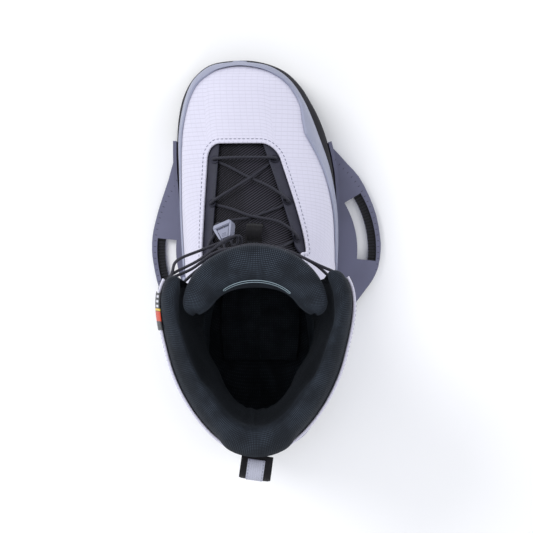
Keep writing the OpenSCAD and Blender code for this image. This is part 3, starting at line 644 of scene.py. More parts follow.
def leather(name, base):
    p = Paint(name, rough=0.55, spec=0.3)
    u, v, uv = p.uv()
    cells = p.node("ShaderNodeTexVoronoi", feature="DISTANCE_TO_EDGE")
    p.set(cells, "Vector", uv)
    p.set(cells, "Scale", 1.4)
    grain = p.ramp(cells.outputs["Distance"], 0.0, 0.25)
    broad = p.noise(uv, 0.08, 3)
    c = p.colour(p.ramp(broad, 0.3, 0.7), scaled(base, 0.85), scaled(base, 1.12))
    return p.done(c, p.ramp(broad, 0.3, 0.7, 0.44, 0.58), p.bump(grain, 0.35, 0.00015))


WHITE = rgb(212, 210, 227)
m_white = ripstop("vamp_ripstop", WHITE)
m_cuff = ripstop("cuff_ripstop", WHITE)
m_rand = rubber("rand_rubber", rgb(150, 154, 175), 1.0, 0.5)
m_foam = rubber("sole_foam", rgb(34, 33, 40), 1.4, 0.55)
m_tongue = ribbed("tongue_ballistic", rgb(38, 37, 45))
# The collar and the tongue pad carry painted shade deep inside the boot
m_collar = mesh_cloth("collar_mesh", rgb(25, 29, 36), rgb(80, 92, 106), 1.4, 0.07, 0.97)
m_liner = mesh_cloth("liner_mesh", rgb(44, 50, 57), rgb(76, 86, 96), 1.8, 0.05)
m_stay = leather("eyestay_synthetic", rgb(50, 50, 63))
m_web = webbing("black_webbing", rgb(18, 17, 22))
m_web_light = webbing("light_webbing", rgb(188, 190, 206))
m_bind = webbing("binding_tape_weave", rgb(34, 34, 42), 1.1, 0.7)
m_lace = braid("lace_braid", rgb(50, 50, 60))
m_lock = plastic("lock_grey", rgb(150, 153, 172), 0.38)
m_button = plastic("button_grey", rgb(140, 143, 162), 0.38)
m_metal = metal("eyelet_dark", rgb(48, 48, 58), 0.45)
m_stud = metal("stud_dark", rgb(70, 70, 80))
m_steel = metal("screw_black", rgb(52, 52, 56), 0.4)
m_zinc = metal("zinc", rgb(160, 160, 165))
m_thread = plastic("thread_white", rgb(232, 232, 244), 0.6, 0.3)
m_thread_grey = plastic("thread_grey", rgb(120, 122, 140), 0.6, 0.3)
m_thread_dark = plastic("thread_dark", rgb(52, 58, 66), 0.7, 0.3)
m_print = plastic("print_pale", rgb(150, 170, 180), 0.6, 0.3)


def chassis_material():
    """Moulded nylon with scale marks near the flange's rim, and painted shade over the ledge's ribs and
    grooves.
    """
    p = Paint("chassis_nylon", rough=0.52, spec=0.3)
    x, y, z, v = p.place()
    r = p.far(x, y)
    a = p.mul(p.math("ARCTAN2", y, x), 180 / math.pi)
    marks = p.mul(p.line(p.add(a, 1.5), 3.0, 0.09),
                   p.within(r, 87.6, 89.5, 0.3))
    up = p.mul(marks, p.ramp(z, 6.6, 6.9))
    fine = p.noise(v, 1.6, 4)
    broad = p.noise(v, 0.025, 3)
    base = rgb(106, 107, 129)
    c = p.colour(p.ramp(broad, 0.3, 0.7), scaled(base, 0.9), scaled(base, 1.08))
    # Painted shade: the ledge from r 80.6 to 87.1 mm and below z 6.2 mm goes dark grey
    groove_shade = p.mul(p.within(r, 80.6, 87.1, 0.3), p.ramp(z, 6.2, 5.8))
    c = p.colour(groove_shade, c, rgb(30, 30, 37))
    # Painted shade: the grooves' bottoms, below about z 3.5 mm, go near black
    c = p.colour(p.mul(groove_shade, p.ramp(z, 3.7, 3.4)), c, rgb(8, 8, 10))
    c = p.colour(p.mul(up, 0.9), c, rgb(40, 40, 50))
    n = p.bump(fine, 0.25, 0.0002)
    n = p.bump(p.sub(1.0, up), 0.5, 0.0003, n)
    return p.done(c, p.ramp(fine, 0.3, 0.7, 0.42, 0.56), n)


def tag_material():
    """A woven label of plain blocks and bars, with no words."""
    p = Paint("woven_tag", rough=0.75, sheen=0.2)
    u, v, uv = p.uv()
    base, light = rgb(30, 31, 38), rgb(222, 222, 232)
    blocks = p.mul(p.line(u, 3.4, 0.5), p.ramp(p.wave(v, 4.4, 0.9), 0.35, 0.45))
    c = p.colour(p.mul(blocks, p.ramp(u, 11.8, 11.6)), base, light)
    c = p.colour(p.within(u, 11.8, 13.6, 0.2), c, rgb(225, 190, 70))
    c = p.colour(p.within(u, 13.8, 21.0, 0.2), c, rgb(204, 66, 36))
    weave = p.mul(p.wave(u, 0.7), p.wave(v, 0.7))
    c = p.colour(p.mul(weave, 0.3), c, (0.01, 0.01, 0.012))
    return p.done(c, None, p.bump(weave, 0.6, 0.0003))


m_chassis = chassis_material()
m_tag = tag_material()


def piece(ob, material, body, slot, *nodes):
    """Gives a finished mesh its material, hangs it on its body when body is a name, and hides the CAD nodes
    it stands for. slot is not used.
    """
    ob.data.materials.clear()
    ob.data.materials.append(material)
    if nodes:
        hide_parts(*nodes)
    if isinstance(body, str):
        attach(ob, body)
    else:
        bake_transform(ob)
    return ob


# The ankle's soft pieces share one field, given in place of a body; piece leaves them unattached
FLEX = ("boot", "cuff", (-0.006, -0.0745, 0.109), (-0.006, -0.080, 0.124))


def show(node, material, bevel=0.0):
    """Keeps a CAD node and gives it a finished material, with its edges rounded by bevel mm."""
    ob = NODES[node]
    if not ob.material_slots:
        ob.data.materials.append(material)
    for s in ob.material_slots:
        s.material = material
    if bevel:
        add_bevel(ob, bevel, 2, 50)


# ---------------------------------------------------------------- chassis, sole and fixings
show("chassis", m_chassis, 0.35)
show("chassis_screws", m_steel)
show("tee_nuts", m_zinc)
show("lasting_board", plastic("board_fibre", rgb(150, 134, 104), 0.8, 0.5))
show("toe_stiffener", plastic("stiffener_sheet", rgb(70, 70, 76), 0.6, 0.3))
show("heel_counter", plastic("counter_sheet", rgb(70, 70, 76), 0.6, 0.3))
show("lace_eyelets", m_metal)
show("lace_studs_medial", m_stud)
show("lace_studs_lateral", m_stud)
show("lower_lock_body", m_lock, 0.4)
show("lower_lock_button", m_button, 0.3)
show("lower_lock_spring", m_zinc)

SOLE = np.array([
    [-20, 148.5], [-43, 145.5], [-57, 135], [-65, 121], [-69, 105], [-70.5, 85], [-70, 60],
    [-67.5, 30], [-65, 0], [-61, -35], [-56, -75], [-52, -110], [-42, -138], [-24, -152],
    [-5, -156], [14, -152], [32, -138], [42, -110], [46, -75], [51, -35], [54, 0], [54.5, 30],
    [53, 60], [48, 84], [42, 101], [35, 115], [26, 129], [14, 140], [-2, 146.5]], float)


def sole_loop(per=6):
    p = np.concatenate([SOLE[-2:], SOLE, SOLE[:2]])
    q = spline(p, np.linspace(2, 2 + len(SOLE), len(SOLE) * per + 1)[:-1])
    t = unit(np.roll(q, -1, 0) - np.roll(q, 1, 0))
    return q, np.stack([t[:, 1], -t[:, 0]], 1)


def banded(name, profile, low=-200, high=200):
    """A block with the sole's outline from low to high along the boot, in mm.

    profile holds heights and how far the block stands out at each."""
    q, out = sole_loop()
    kept = (q[:, 1] >= low) & (q[:, 1] <= high)
    rings = np.array([np.column_stack([(q + out * by)[kept], np.full(kept.sum(), z)])
                      for z, by in profile])
    n, m = rings.shape[:2]
    run = run_of(np.concatenate([rings[0], rings[0][:1]]))
    faces, corners = [], []
    for i in range(n - 1):
        z0, z1 = profile[i][0], profile[i + 1][0]
        for j in range(m):
            k = (j + 1) % m
            faces.append([i * m + j, i * m + k, (i + 1) * m + k, (i + 1) * m + j])
            corners.append([(run[j], z0), (run[j + 1], z0), (run[j + 1], z1), (run[j], z1)])
    for i in (0, n - 1):
        faces.append([i * m + j for j in range(m)])
        corners.append([tuple(rings[i][j][:2]) for j in range(m)])
    ob = new_object(name, rings.reshape(-1, 3), faces, corners)
    tidy_mesh(ob)
    return ob


midsole = banded("midsole_foam", [
    (7.25, -2.2), (7.5, -1.2), (8.2, -0.5), (9.4, -0.15), (12.2, -0.1), (12.7, -0.6), (13.4, -0.6),
    (13.9, -0.1), (18.2, -0.1), (21.6, -0.2), (22.7, -0.45), (23.3, -1.0), (23.58, -2.0)])
piece(midsole, m_foam, "boot", "foam", "midsole")
for name, span in (("toe_pad", (96.8, 200)), ("heel_pad", (-200, -96.8))):
    tread = banded(name + "_tread", [(0.0, -2.4), (0.25, -1.6), (1.0, -1.2), (2.6, -1.15), (3.0, -1.7),
                                   (3.6, -1.7), (4.0, -1.15), (6.2, -1.2), (6.95, -1.9)], *span)
    soften(tread, 0.5, 2, 50)
    piece(tread, m_foam, "boot", "foam", name)


def side_at(u, z, d, side):
    s = spline(SECTIONS, u)
    ey, ez = s[2] - s[0], s[3] - s[1]
    size = math.hypot(ey, ez)
    half = size / 2 - d
    c = max(-0.995, (z - (s[1] + s[3]) / 2) / (ez / size) / half)
    w = (1 - abs(c) ** s[7]) ** (1 / s[7])
    return [s[5] + side * (s[4] - d) * w * (1 + s[6] * c), (s[0] + s[2]) / 2 + ey / size * half * c]


us = np.linspace(3.2, 9.2, 40)
edge = np.array([side_at(u, 37.6, 13.6, 1) for u in us] + [side_at(u, 37.6, 13.6, -1) for u in us[::-1]])
mid = np.stack([(edge[:, 0] + edge[::-1, 0]) / 2, edge[:, 1]], 1)
rings = []
for share, z in ((0.02, 37.7), (0.9, 37.7), (0.985, 38.1), (1.0, 39.2), (0.99, 41.6), (0.965, 42.0),
                 (0.93, 41.6), (0.85, 40.9), (0.6, 40.4), (0.3, 40.3), (0.02, 40.3)):
    p = mid + (edge - mid) * share
    centre = np.array([mid[:, 0].mean(), mid[:, 1].mean()])
    p = centre + (p - centre) * (0.99 + 0.01 * share)
    rings.append(np.concatenate([p, np.full((len(p), 1), z)], 1))
footbed = loft("footbed_cloth", np.array(rings))
piece(footbed, m_liner, "boot", "footbed_foam", "footbed")

# ---------------------------------------------------------------- lower shell
DROP = 0.46          # how far the opening's front corners round back, in sections
FRONT, CORNER = 56, 12.5          # the front edge's length and its corners' radius, in mm


def side_edge(u, side):
    b = opening(u, side)
    if side > 0:
        b -= 7.0 * math.exp(-((u - 9.3) / 0.28) ** 2)
    return b


front_n, side_n = 56, 74
top_u = THROAT_U + DROP
share = 0.5 - 0.5 * np.cos(np.linspace(0, np.pi, front_n + 1))
corner = np.minimum(CORNER, np.minimum(share, 1 - share) * FRONT)
fall = CORNER - np.sqrt(np.maximum(0, CORNER ** 2 - (CORNER - corner) ** 2))
front_u = THROAT_U + DROP * fall / CORNER
rows_u = np.concatenate([np.linspace(0, 1, 10)[:-1], np.linspace(1, top_u, 46),
                         np.linspace(top_u, 12, 60)[1:]])
throat_row = int(np.argmin(np.abs(rows_u - top_u)))
outer, inner = [], []
for k, u in enumerate(rows_u):
    a, c = side_edge(u, -1), side_edge(u, 1)
    left = -180 + (a + 180) * (np.arange(side_n) / side_n)
    right = c + (180 - c) * (np.arange(side_n) / side_n)
    if k <= throat_row:
        t = (u / top_u) ** 3
        uf = u * (1 - (1 - front_u / top_u) * t)
        af = np.array([side_edge(v, -1) for v in uf])
        cf = np.array([side_edge(v, 1) for v in uf])
    else:
        uf, af, cf = np.full(front_n + 1, u), np.full(front_n + 1, a), np.full(front_n + 1, c)
    front = af + (cf - af) * share
    b = np.concatenate([left, front, right[1:]])
    uu = np.concatenate([np.full(side_n, u), uf, np.full(side_n - 1, u)])
    outer.append(surf(uu, b, 0.0))
    inner.append(surf(np.where(uu < 1, 0.3 + uu * 0.7, uu), b, SHELL_IN))
outer, inner = np.array(outer), np.array(inner)
cells = outer.shape[1]
keep = np.ones((len(rows_u) - 1, cells), bool)
keep[throat_row:, side_n:side_n + front_n] = False
vamp = shell_mesh("vamp_shell", outer, inner, True, keep, True)
soften(vamp, 0.55, 2, 50)
piece(vamp, m_white, "boot", "ripstop", "vamp")


def surface_normal(u, b):
    across = surf(u, b + 0.5, 0) - surf(u, b - 0.5, 0)
    ahead = surf(u - 0.03, b, 0) - surf(u + 0.03, b, 0)
    return unit(np.cross(across, ahead))


def degree(u, b):
    """The length in mm of one degree at a point of section u."""
    return np.linalg.norm(surf(u, b + 1, 0) - surf(u, b - 1, 0)) / 2


def rim_line(off):
    """A line round the opening, off mm outside its edge, with the surface's normals."""
    pts = []
    for u in np.linspace(11.6, top_u + 0.05, 60):
        b = side_edge(u, -1)
        pts.append((u, b - off / degree(u, b)))
    n = 60
    for i in range(n + 1):
        s = 0.5 - 0.5 * math.cos(math.pi * i / n)
        c = min(CORNER, min(s, 1 - s) * FRONT)
        drop = CORNER - math.sqrt(max(0, CORNER ** 2 - (CORNER - c) ** 2))
        ang = math.asin(min(1, (CORNER - c) / CORNER))
        dx, dy = off * math.sin(ang) * (1 if s > 0.5 else -1), off * math.cos(ang)
        u = THROAT_U + DROP * (drop - dy) / CORNER
        b = side_edge(u, -1) + (side_edge(u, 1) - side_edge(u, -1)) * s
        pts.append((u, b + dx / degree(u, b)))
    for u in np.linspace(top_u + 0.05, 11.6, 60):
        b = side_edge(u, 1)
        pts.append((u, b + off / degree(u, b)))
    uu, bb = np.array(pts).T
    p = surf(uu, bb, 0.0)
    nor = surface_normal(uu, bb)
    return p, nor


p, n = rim_line(0.25)
rim_tube = tube_mesh("vamp_rolled_edge", resample(p - n * 0.55, 0.9), 0.95, 10)
piece(rim_tube, m_white, "boot", "ripstop", "vamp")
p, n = rim_line(2.7)
stitches = stitch_row("vamp_stitching", p, n, 3.3, 2.2, 0.3, 0.02)
piece(stitches, m_thread_grey, "boot", "ripstop", "vamp")


# ---------------------------------------------------------------- rand
def rand_top(u, side):
    if side > 0:
        xs = [1.3, 1.36, 1.45, 1.6, 1.8, 2.1, 2.5, 3.2, 3.8, 4.1, 4.6, 5, 5.6, 6.2, 7, 8]
        ys = [0, 10, 18, 28, 38, 46, 54, 67, 72, 71.5, 64, 61, 70, 78, 86, 92]
    else:
        xs = [1.3, 1.36, 1.45, 1.6, 1.8, 2.1, 2.5, 3.2, 4, 5, 6, 7, 8]
        ys = [0, 10, 18, 28, 38, 45, 51, 66, 78, 88, 94, 95.5, 96]
    return np.interp(u, xs, ys)


us = np.concatenate([np.linspace(0, 1.3, 12), 1.3 + 0.9 * np.linspace(0, 1, 26)[1:] ** 1.6,
                     np.linspace(2.2, 8, 100)[1:]])
across = 1 - (1 - np.linspace(0, 1, 34)) ** 1.35


def rand_grid(d, tips):
    rows = []
    for u in us:
        a, c = rand_top(u, -1), rand_top(u, 1)
        b = np.concatenate([-a - (146 - a) * across[::-1], c + (146 - c) * across])
        ahead = np.interp(u, [0, 1.3, 2.5], [0.7, 0.6, 0])
        tuck = 1.0 * smooth((np.abs(b) - 62) / 30) if d < -1 else 0.0
        rows.append(surf(u, b, d + tuck) + [0, ahead, 0])
    first = rows[0]
    s = SECTIONS[0]
    centre = np.array([s[5], 0, (s[1] + s[3]) / 2])
    caps = []
    for y, k in tips:
        q = centre + (first - centre) * k
        q[:, 1] = y
        caps.append(q)
    return np.array(caps + rows)


r_out = rand_grid(-2.5, [(147.05, 0.05), (146.95, 0.5), (146.6, 0.85)])
r_in = rand_grid(-0.35, [(145.75, 0.05), (145.7, 0.5), (145.65, 0.85)])
half = len(across)
keep = np.ones((len(r_out) - 1, 2 * half - 1), bool)
tip_rows = 14          # rows that meet across the toe's tip
keep[tip_rows:, half - 1] = False
rand = shell_mesh("toe_rand_moulded", r_out, r_in, False, keep)
tidy_mesh(rand, merge=True)
soften(rand, 0.7, 3, 45)
piece(rand, m_rand, "boot", "rand_rubber", "toe_rand")

us2 = np.linspace(8.1, 11, 50)
bs = np.linspace(104, 256, 90)
g_out = surf(us2[:, None], bs[None], -2.4)
g_in = surf(us2[:, None], bs[None], -0.3)
for g in (g_out, g_in):
    g[..., 2] = np.maximum(g[..., 2], 23.75)
heel = shell_mesh("heel_rand_moulded", g_out, g_in)
soften(heel, 0.7, 3, 45)
piece(heel, m_rand, "boot", "rand_rubber", "heel_rand")


# ---------------------------------------------------------------- eyestays, tongue, keeper
def eyestay(side):
    name = "medial" if side < 0 else "lateral"
    r, c = np.linspace(0, 1, 60), np.linspace(0, 1, 14)
    rows_o, rows_i = [], []
    for t in r:
        ro = []
        for q in c:
            end = 9.1 - 0.34 * (1 - math.sqrt(max(0, 1 - max(0, (q - 0.35) / 0.65) ** 2)))
            u = 5.12 + (end - 5.12) * t
            wide = 560 / spline(SECTIONS, u)[4] * 1.1
            e = opening(u, side)
            ro.append((u, e + side * 7 - side * (7 + wide) * q))
        uu, bb = np.array(ro).T
        rows_o.append(surf(uu, bb, 2.65))
        rows_i.append(surf(uu, bb, 4.1))
    ob = shell_mesh("eyestay_" + name + "_panel", np.array(rows_o), np.array(rows_i))
    soften(ob, 0.4, 2, 45)
    piece(ob, m_stay, "boot", "stay_synthetic", "eyestay_" + name)
    # a row of stitches near the inner edge
    ins, nor = [], []
    for u in np.linspace(5.3, 8.9, 60):
        wide = 560 / spline(SECTIONS, u)[4] * 1.1
        step = np.linalg.norm(surf(u, 10, 0) - surf(u, 9, 0))
        b = opening(u, side) - side * (wide - 1.6 / step)
        ins.append(surf(u, b, 2.65))
        nor.append(surface_normal(u, b))
    row = stitch_row("eyestay_" + name + "_stitching", ins, nor, 2.8, 1.9, 0.22)
    piece(row, m_thread_dark, "boot", "stay_synthetic", "eyestay_" + name)


eyestay(-1)
eyestay(1)

us3 = np.concatenate([np.linspace(4.9, 12, 90), np.linspace(12, 12.98, 14)[1:]])
rows_o, rows_i = [], []
for u in us3:
    a = opening(min(u, 12), -1) + 2
    c = opening(min(u, 12), 1) - 2
    b = a + (c - a) * np.linspace(0, 1, 44)
    rows_o.append(surf(u, b, TONGUE_OUT))
    rows_i.append(surf(u, b, TONGUE_IN))
tongue = shell_mesh("lower_tongue_cloth", np.array(rows_o), np.array(rows_i))
soften(tongue, 1.2, 3, 50)
piece(tongue, m_tongue, FLEX, "ballistic", "lower_tongue", "tongue_flex_zone")

keeper_base = turned(frame_at(8.35, edge_angle(8.35, -9.5), TONGUE_OUT), -6)
arch = line_of([(-9.4, 1.95), (-7.6, 2.0), (-6.3, 2.7), (-5.7, 4.6), (-4.7, 6.9), (-2.5, 8.35), (0, 8.6),
                (2.5, 8.35), (4.7, 6.9), (5.7, 4.6), (6.3, 2.7), (7.6, 2.0), (9.4, 1.95)], 6)
path = np.array([in_frame(keeper_base, (0, y, z)) for y, z in arch])
keeper = strap_mesh("tongue_keeper_strap", path, keeper_base[0], 12, 1.25)
soften(keeper, 0.3, 2, 60)
piece(keeper, m_web, "boot", "webbing", "tongue_keeper")
for k, y in enumerate((-8.3, 8.3)):
    line = np.array([in_frame(keeper_base, (x, y, 2.6)) for x in np.linspace(-5, 5, 12)])
    row = stitch_row("keeper_stitch_%d" % k, line, np.tile(keeper_base[2], (12, 1)), 2.2, 1.5, 0.28, 0.05)
    piece(row, m_thread_dark, "boot", "webbing", "tongue_keeper")


# ---------------------------------------------------------------- laces
EYELET_U = (5.8, 7, 8.4)


def eyelet(k, side):
    y = spline(SECTIONS, EYELET_U[k])[2]
    x = -40.6 - (70 - y) * 0.045 if side < 0 else 6.6 + (68 - y) * 0.31
    return frame_at(EYELET_U[k], float(edge_angle(EYELET_U[k], x)), STAY_MID)


def hole_run(k, side):
    f = eyelet(k, side)
    return [in_frame(f, (0, 0, z)) for z in (3, 0, -2.2)]


lock_frame = turned(frame_at(8.4, float(edge_angle(8.4, -28.8)), -1), 7)


def lock_run(x):
    return [in_frame(lock_frame, (x, y, 2)) for y in (9, 6.8, -6.8, -9.5)]


def tops(rows):
    return [surf(u, float(edge_angle(u, x)), d) for u, x, d in rows]


def cord(name, route):
    """A lace along a smooth line through its route's points."""
    return tube_mesh(name, resample(line_of(np.array(route, float), 10), 0.7), 1.08)


TAIL_A = [[-27.5, -1.6, 118.6], [-22, -1, 120], [-18.6, 4, 122], [-20.5, 9, 124], [-31, 5, 128],
          [-47, -1.5, 139.5], [-60.5, -7, 150], [-65.5, -11, 158], [-66.8, -17, 166.5], [-68.5, -24, 175]]
TAIL_B = [[-21.4, 3.2, 125], [-22.4, 8.8, 128], [-33, 3.4, 136], [-49, -9, 148],
          [-65, -17.5, 161], [-69.5, -21.5, 168]]
lower_route = (
    TAIL_A[::-1] + [in_frame(lock_frame, (-3, -12, 2))] + lock_run(-3)[::-1]
    + [in_frame(lock_frame, q) for q in ((-5.2, 10.4, 1.4), (-8.2, 9, 0.6), (-9.4, 4.5, 0))] + hole_run(2, -1)
    + tops([(9.2, -30, 4.2), (9.7, -10, 4.2), (9.4, 10, 4.2)]) + hole_run(2, 1)[::-1]
    + tops([(8.1, 17, 0.2), (7.8, 7, 0.8), (7.56, -12, 2.4), (7.2, -29, 5)]) + hole_run(1, -1)[::-1]
    + tops([(6.75, -31, 0.4), (6.4, -15, 0.4), (6.1, -4, 5)]) + hole_run(0, 1)[::-1]
    + tops([(5.75, -5, -0.4), (5.75, -26, -0.4)]) + hole_run(0, -1)
    + tops([(6.02, -29, 5.5), (6.3, -14, 4.2), (6.6, 3, 0.6)]) + hole_run(1, 1)
    + tops([(7.15, 12, 5.5), (7.38, -1, 5.2), (7.56, -12, 5), (7.7, -23, 1.4)]) + lock_run(3)
    + [in_frame(lock_frame, (3, -12, 2)), in_frame(lock_frame, (5.2, -13.6, 2.7))] + TAIL_B)
lower_lace = cord("lower_lace_cord", lower_route)
piece(lower_lace, m_lace, FLEX, "lace_cord", "lower_lace")


def stud_run(u, b, rows):
    f = frame_at(u, b, 0)
    return [in_frame(f, (x, y, 3)) for x, y in rows]


upper_route = (
    stud_run(15.2, 302, [(-8, 1), (0, 5.5), (6, 1)])
    + [[-52, -15, 188], [-36, -4, 190], [-18, 0, 189], [0, 0.6, 186.5], [18, -4, 183], [34, -12, 180]]
    + stud_run(14.1, 56, [(-7, -2), (-1, -5.4), (5, 0)])
    + stud_run(15.2, 56, [(5, 0), (-1, 5.4), (-7, 2)])
    + [[35, -12, 191], [18, -4, 192], [0, 1, 191.5], [-18, 0.8, 184], [-36, -7, 180], [-50, -17, 176]]
    + stud_run(14.1, 302, [(6, -1), (0, -5.5), (-8, -1)]))
upper_lace = cord("upper_lace_cord", upper_route)
piece(upper_lace, m_lace, ("cuff", "tongue", (0.0, -0.030, 0.185), (0.0, -0.006, 0.185)), "lace_cord",
      "upper_lace")

# ---------------------------------------------------------------- ankle panels and cuff
us4 = np.linspace(12.0, 13.02, 30)
bs = np.linspace(48, 308, 130)
fold = 0.5 * np.sin(np.pi * 3 * (us4 - 12) / 1.02) ** 2
g_out = surf(us4[:, None], bs[None], 0.25 + fold[:, None])
g_in = surf(us4[:, None], bs[None], 1.85)
gusset = shell_mesh("ankle_panel", g_out, g_in)
soften(gusset, 0.4, 2, 55)
piece(gusset, m_white, FLEX, "ripstop", "shell_flex_zone")

us5 = np.linspace(13, 16.6, 60)
bs = np.linspace(50, 308, 150)
cuff = shell_mesh("cuff_shell", surf(us5[:, None], bs[None], 0.0), surf(us5[:, None], bs[None], SHELL_IN))
soften(cuff, 0.55, 2, 50)
piece(cuff, m_cuff, "cuff", "ripstop", "cuff")


def folded_tape(name, centre, inward, normal, width, thick):
    """Tape folded over an edge: a U section swept along the edge's line."""
    prof = [(-width, thick), (-width * 0.4, thick * 1.05), (0.1, thick * 0.95), (0.75, thick * 0.45),
            (0.95, 0), (0.75, -thick * 0.45), (0.1, -thick * 0.95), (-width * 0.4, -thick * 1.05),
            (-width, -thick)]
    rings = []
    for c, i, n in zip(centre, inward, normal):
        rings.append([c + i * x + n * y for x, y in prof])
    return loft(name, np.array(rings))


for k, b in enumerate((50.6, 307.4)):
    us6 = np.linspace(13.06, 16.5, 60)
    line, nor = surf(us6, b, 0.95), surface_normal(us6, np.full(60, b))
    side = unit(np.cross(nor, unit(np.gradient(line, axis=0))))
    side = side * np.sign(((line - surf(us6, b + (4 if k == 0 else -4), 0.95)) * side).sum(1))[:, None]
    tape = folded_tape("cuff_binding_tape_%d" % k, line, side, nor, 3.4, 1.45)
    piece(tape, m_bind, "cuff", "binding_tape", "cuff_binding")
    row = stitch_row("cuff_binding_stitching_%d" % k, line - side * 2.5 + nor * 1.45, nor, 2.8, 1.9, 0.25)
    piece(row, m_thread_dark, "cuff", "binding_tape", "cuff_binding")
bs = np.linspace(51, 307, 190)
rim_tube = tube_mesh("cuff_rolled_edge", surf(16.57, bs, 0.95), 1.05, 12)
piece(rim_tube, m_cuff, "cuff", "ripstop", "cuff")
row = stitch_row("cuff_edge_stitching", surf(16.43, bs, 0.0),
                 surface_normal(np.full(190, 16.43), bs), 3.2, 2.2, 0.27)
piece(row, m_thread_grey, "cuff", "ripstop", "cuff")


# ---------------------------------------------------------------- padded collar
def collar_in(u, b):
    w = min(b, 360 - b)
    flap = mix(10.4, 13.2, (w - 44) / 20)
    high, deep = mix(flap, 21.9, smooth((w - 85) / 40)), mix(flap, 26.9, smooth((w - 62) / 48))
    if u < 14.4:
        return mix(LINER_IN, deep, smooth((u - 13) / 1.4))
    return mix(deep, high, smooth((u - 15.4) / 1.4))


def collar_profile(b):
    """The padding's closed outline at angle b, as section numbers and insets."""
    k = smooth((min(b, 360 - b) - 60) / 48)
    ridge = 6.4 + 6.8 * k
    h = smooth((38 - abs(b - 180)) / 14)
    top = max(collar_in(16.9, b), ridge + 4.6)
    out = [(13.0, 2.35), (13.6, 2.35), (14.4, 2.35), (15.3, 2.35), (16.1, 2.35), (16.5, 2.3),
           (16.66, mix(2.2 + 0.8 * k, -0.5, h)), (16.82, mix(2.0 + 2.0 * k, -0.2, h)),
           (17.05, mix(2.2 + 3.3 * k, 1.8, h)), (17.25, mix(2.9 + 4.6 * k, 4.8, h)),
           (17.43, mix(4.0 + 5.7 * k, 8.4, h)), (17.55, mix(5.2 + 6.4 * k, 11.2, h)), (17.6, ridge)]
    inn = [(17.57, mix(ridge, top, 0.42)), (17.47, mix(ridge, top, 0.68)), (17.28, mix(ridge, top, 0.86)),
           (17.0, top), (16.6, max(top, collar_in(16.6, b)))]
    inn += [(v, collar_in(v, b)) for v in (16.1, 15.6, 15.1, 14.6, 14.2, 13.8, 13.4, 13.0)]
    return np.array(out + inn + [(13.0, 7.0)])


def front_edge(u, side):
    b = mix(46, 39, (u - 15.5) / 1.5)
    return b if side > 0 else -mix(49, 46, (u - 15.5) / 1.5)


stations = np.concatenate([[0, 0.004, 0.012, 0.025, 0.045], np.linspace(0.07, 0.93, 64),
                           [0.955, 0.975, 0.988, 0.996, 1]])
rings = []
for s in stations:
    rough = 40 + (315 - 40) * s
    prof = collar_profile(rough)
    near = min(s, 1 - s) * 290
    shrink = math.sqrt(max(0.04, 1 - (1 - min(1, near / 6.5)) ** 2))
    ring = []
    for u, d in prof:
        a, c = front_edge(u, 1), 360 + front_edge(u, -1)
        b = a + (c - a) * s
        uu = u if u < 15 else 15 + (u - 15) * (1 - 0.055 * (1 - shrink))
        ring.append(surf(uu, b, 7.2 + (d - 7.2) * shrink))
    rings.append(ring)
rings = np.array(rings)
# gathers in the lining behind the heel
for i, s in enumerate(stations):
    b = 40 + 275 * s
    back = math.exp(-((b - 181) / 22) ** 2)
    for j in range(17, 23):
        rings[i, j] += np.array([0.2, 0.9, 0.4]) * back * math.sin(b * 1.25 + 1)
collar = loft("collar_pad", rings)
subdivided(collar, 2)
piece(collar, m_collar, "cuff", "collar_mesh", "liner_collar")

# ---------------------------------------------------------------- padded tongue
TONGUE = np.array([
    [150.2, -9.1, -33.9, 34.7, 65.4, 4.1, 4.1],
    [151.5, -9, -34, 35, 66, 4.2, 4.2], [164, -9.5, -35, 36.6, 72, 6, 5], [178, -9.5, -36, 39.4, 78, 9, 6],
    [192, -8.5, -37, 42.6, 85, 13, 7], [204, -5, -38, 46, 91, 20, 10], [215, -1.5, -40, 48.2, 97, 26, 14],
    [225, 0.8, -41, 49.1, 100, 28.5, 17.5], [232, 1.4, -41, 49.3, 100, 27, 17.5],
    [237, -0.2, -41, 48.4, 100, 22, 15], [240.2, -4, -41, 45.6, 98, 14.5, 9]])


def tongue_profile(share):
    """The padded tongue's closed outline at one share of its arch, from -1 to 1."""
    fine = spline(TONGUE, np.linspace(0, len(TONGUE) - 1, 24))
    near = (1 - abs(share)) * 62
    shrink = math.sqrt(max(0.03, 1 - (1 - min(1, near / 9.5)) ** 2))
    rows = []
    for deep in (0, 1):
        side = []
        for r in fine:
            a = share * r[4]
            thick = mix(r[5], r[6], abs(share) ** 2)
            d = thick * (0.5 + (deep - 0.5) * shrink)
            y = r[2] + (r[1] - r[2] - d) * math.cos(math.radians(a))
            low = 0 if r[0] < 200 else (1 - shrink) * (r[0] - 200) * 0.22
            side.append([-7.8 + (r[3] - d) * math.sin(math.radians(a)), y, r[0] + 0.16 * y - low])
        rows.append(side)
    return np.array(rows[0] + rows[1][::-1])


shares = np.concatenate([[-1, -0.994, -0.98, -0.955], np.linspace(-0.92, 0.92, 46), [0.955, 0.98, 0.994, 1]])
rings = np.array([tongue_profile(s) for s in shares])
pad = loft("tongue_pad", rings)
subdivided(pad, 1)
piece(pad, m_collar, "tongue", "collar_mesh", "upper_tongue")


def tongue_slope(share, t):
    """A point just above the tongue's inner slope. t counts the rows of its table."""
    r = spline(TONGUE, t)
    a, d = math.radians(share * r[4]), mix(r[5], r[6], share ** 2)
    y = r[2] + (r[1] - r[2] - d) * math.cos(a)
    return np.array([-7.8 + (r[3] - d) * math.sin(a), y - 0.05, r[0] + 0.16 * y + 0.3])


# A narrow outlined band printed along the slope
loop = [(s, 8.5 - 0.9 * s * s) for s in np.linspace(-0.53, 0.6, 40)] + [(0.612, 8.28), (0.612, 8.42)] \
    + [(s, 8.86 - 0.9 * s * s) for s in np.linspace(0.6, -0.53, 40)] + [(-0.542, 8.49), (-0.542, 8.35)]
line = np.array([tongue_slope(s, v) for s, v in loop + loop[:1]])
print_line = tube_mesh("tongue_printed_outline", resample(line, 0.8), 0.22, 8, False)
piece(print_line, m_print, "tongue", "collar_mesh", "upper_tongue")

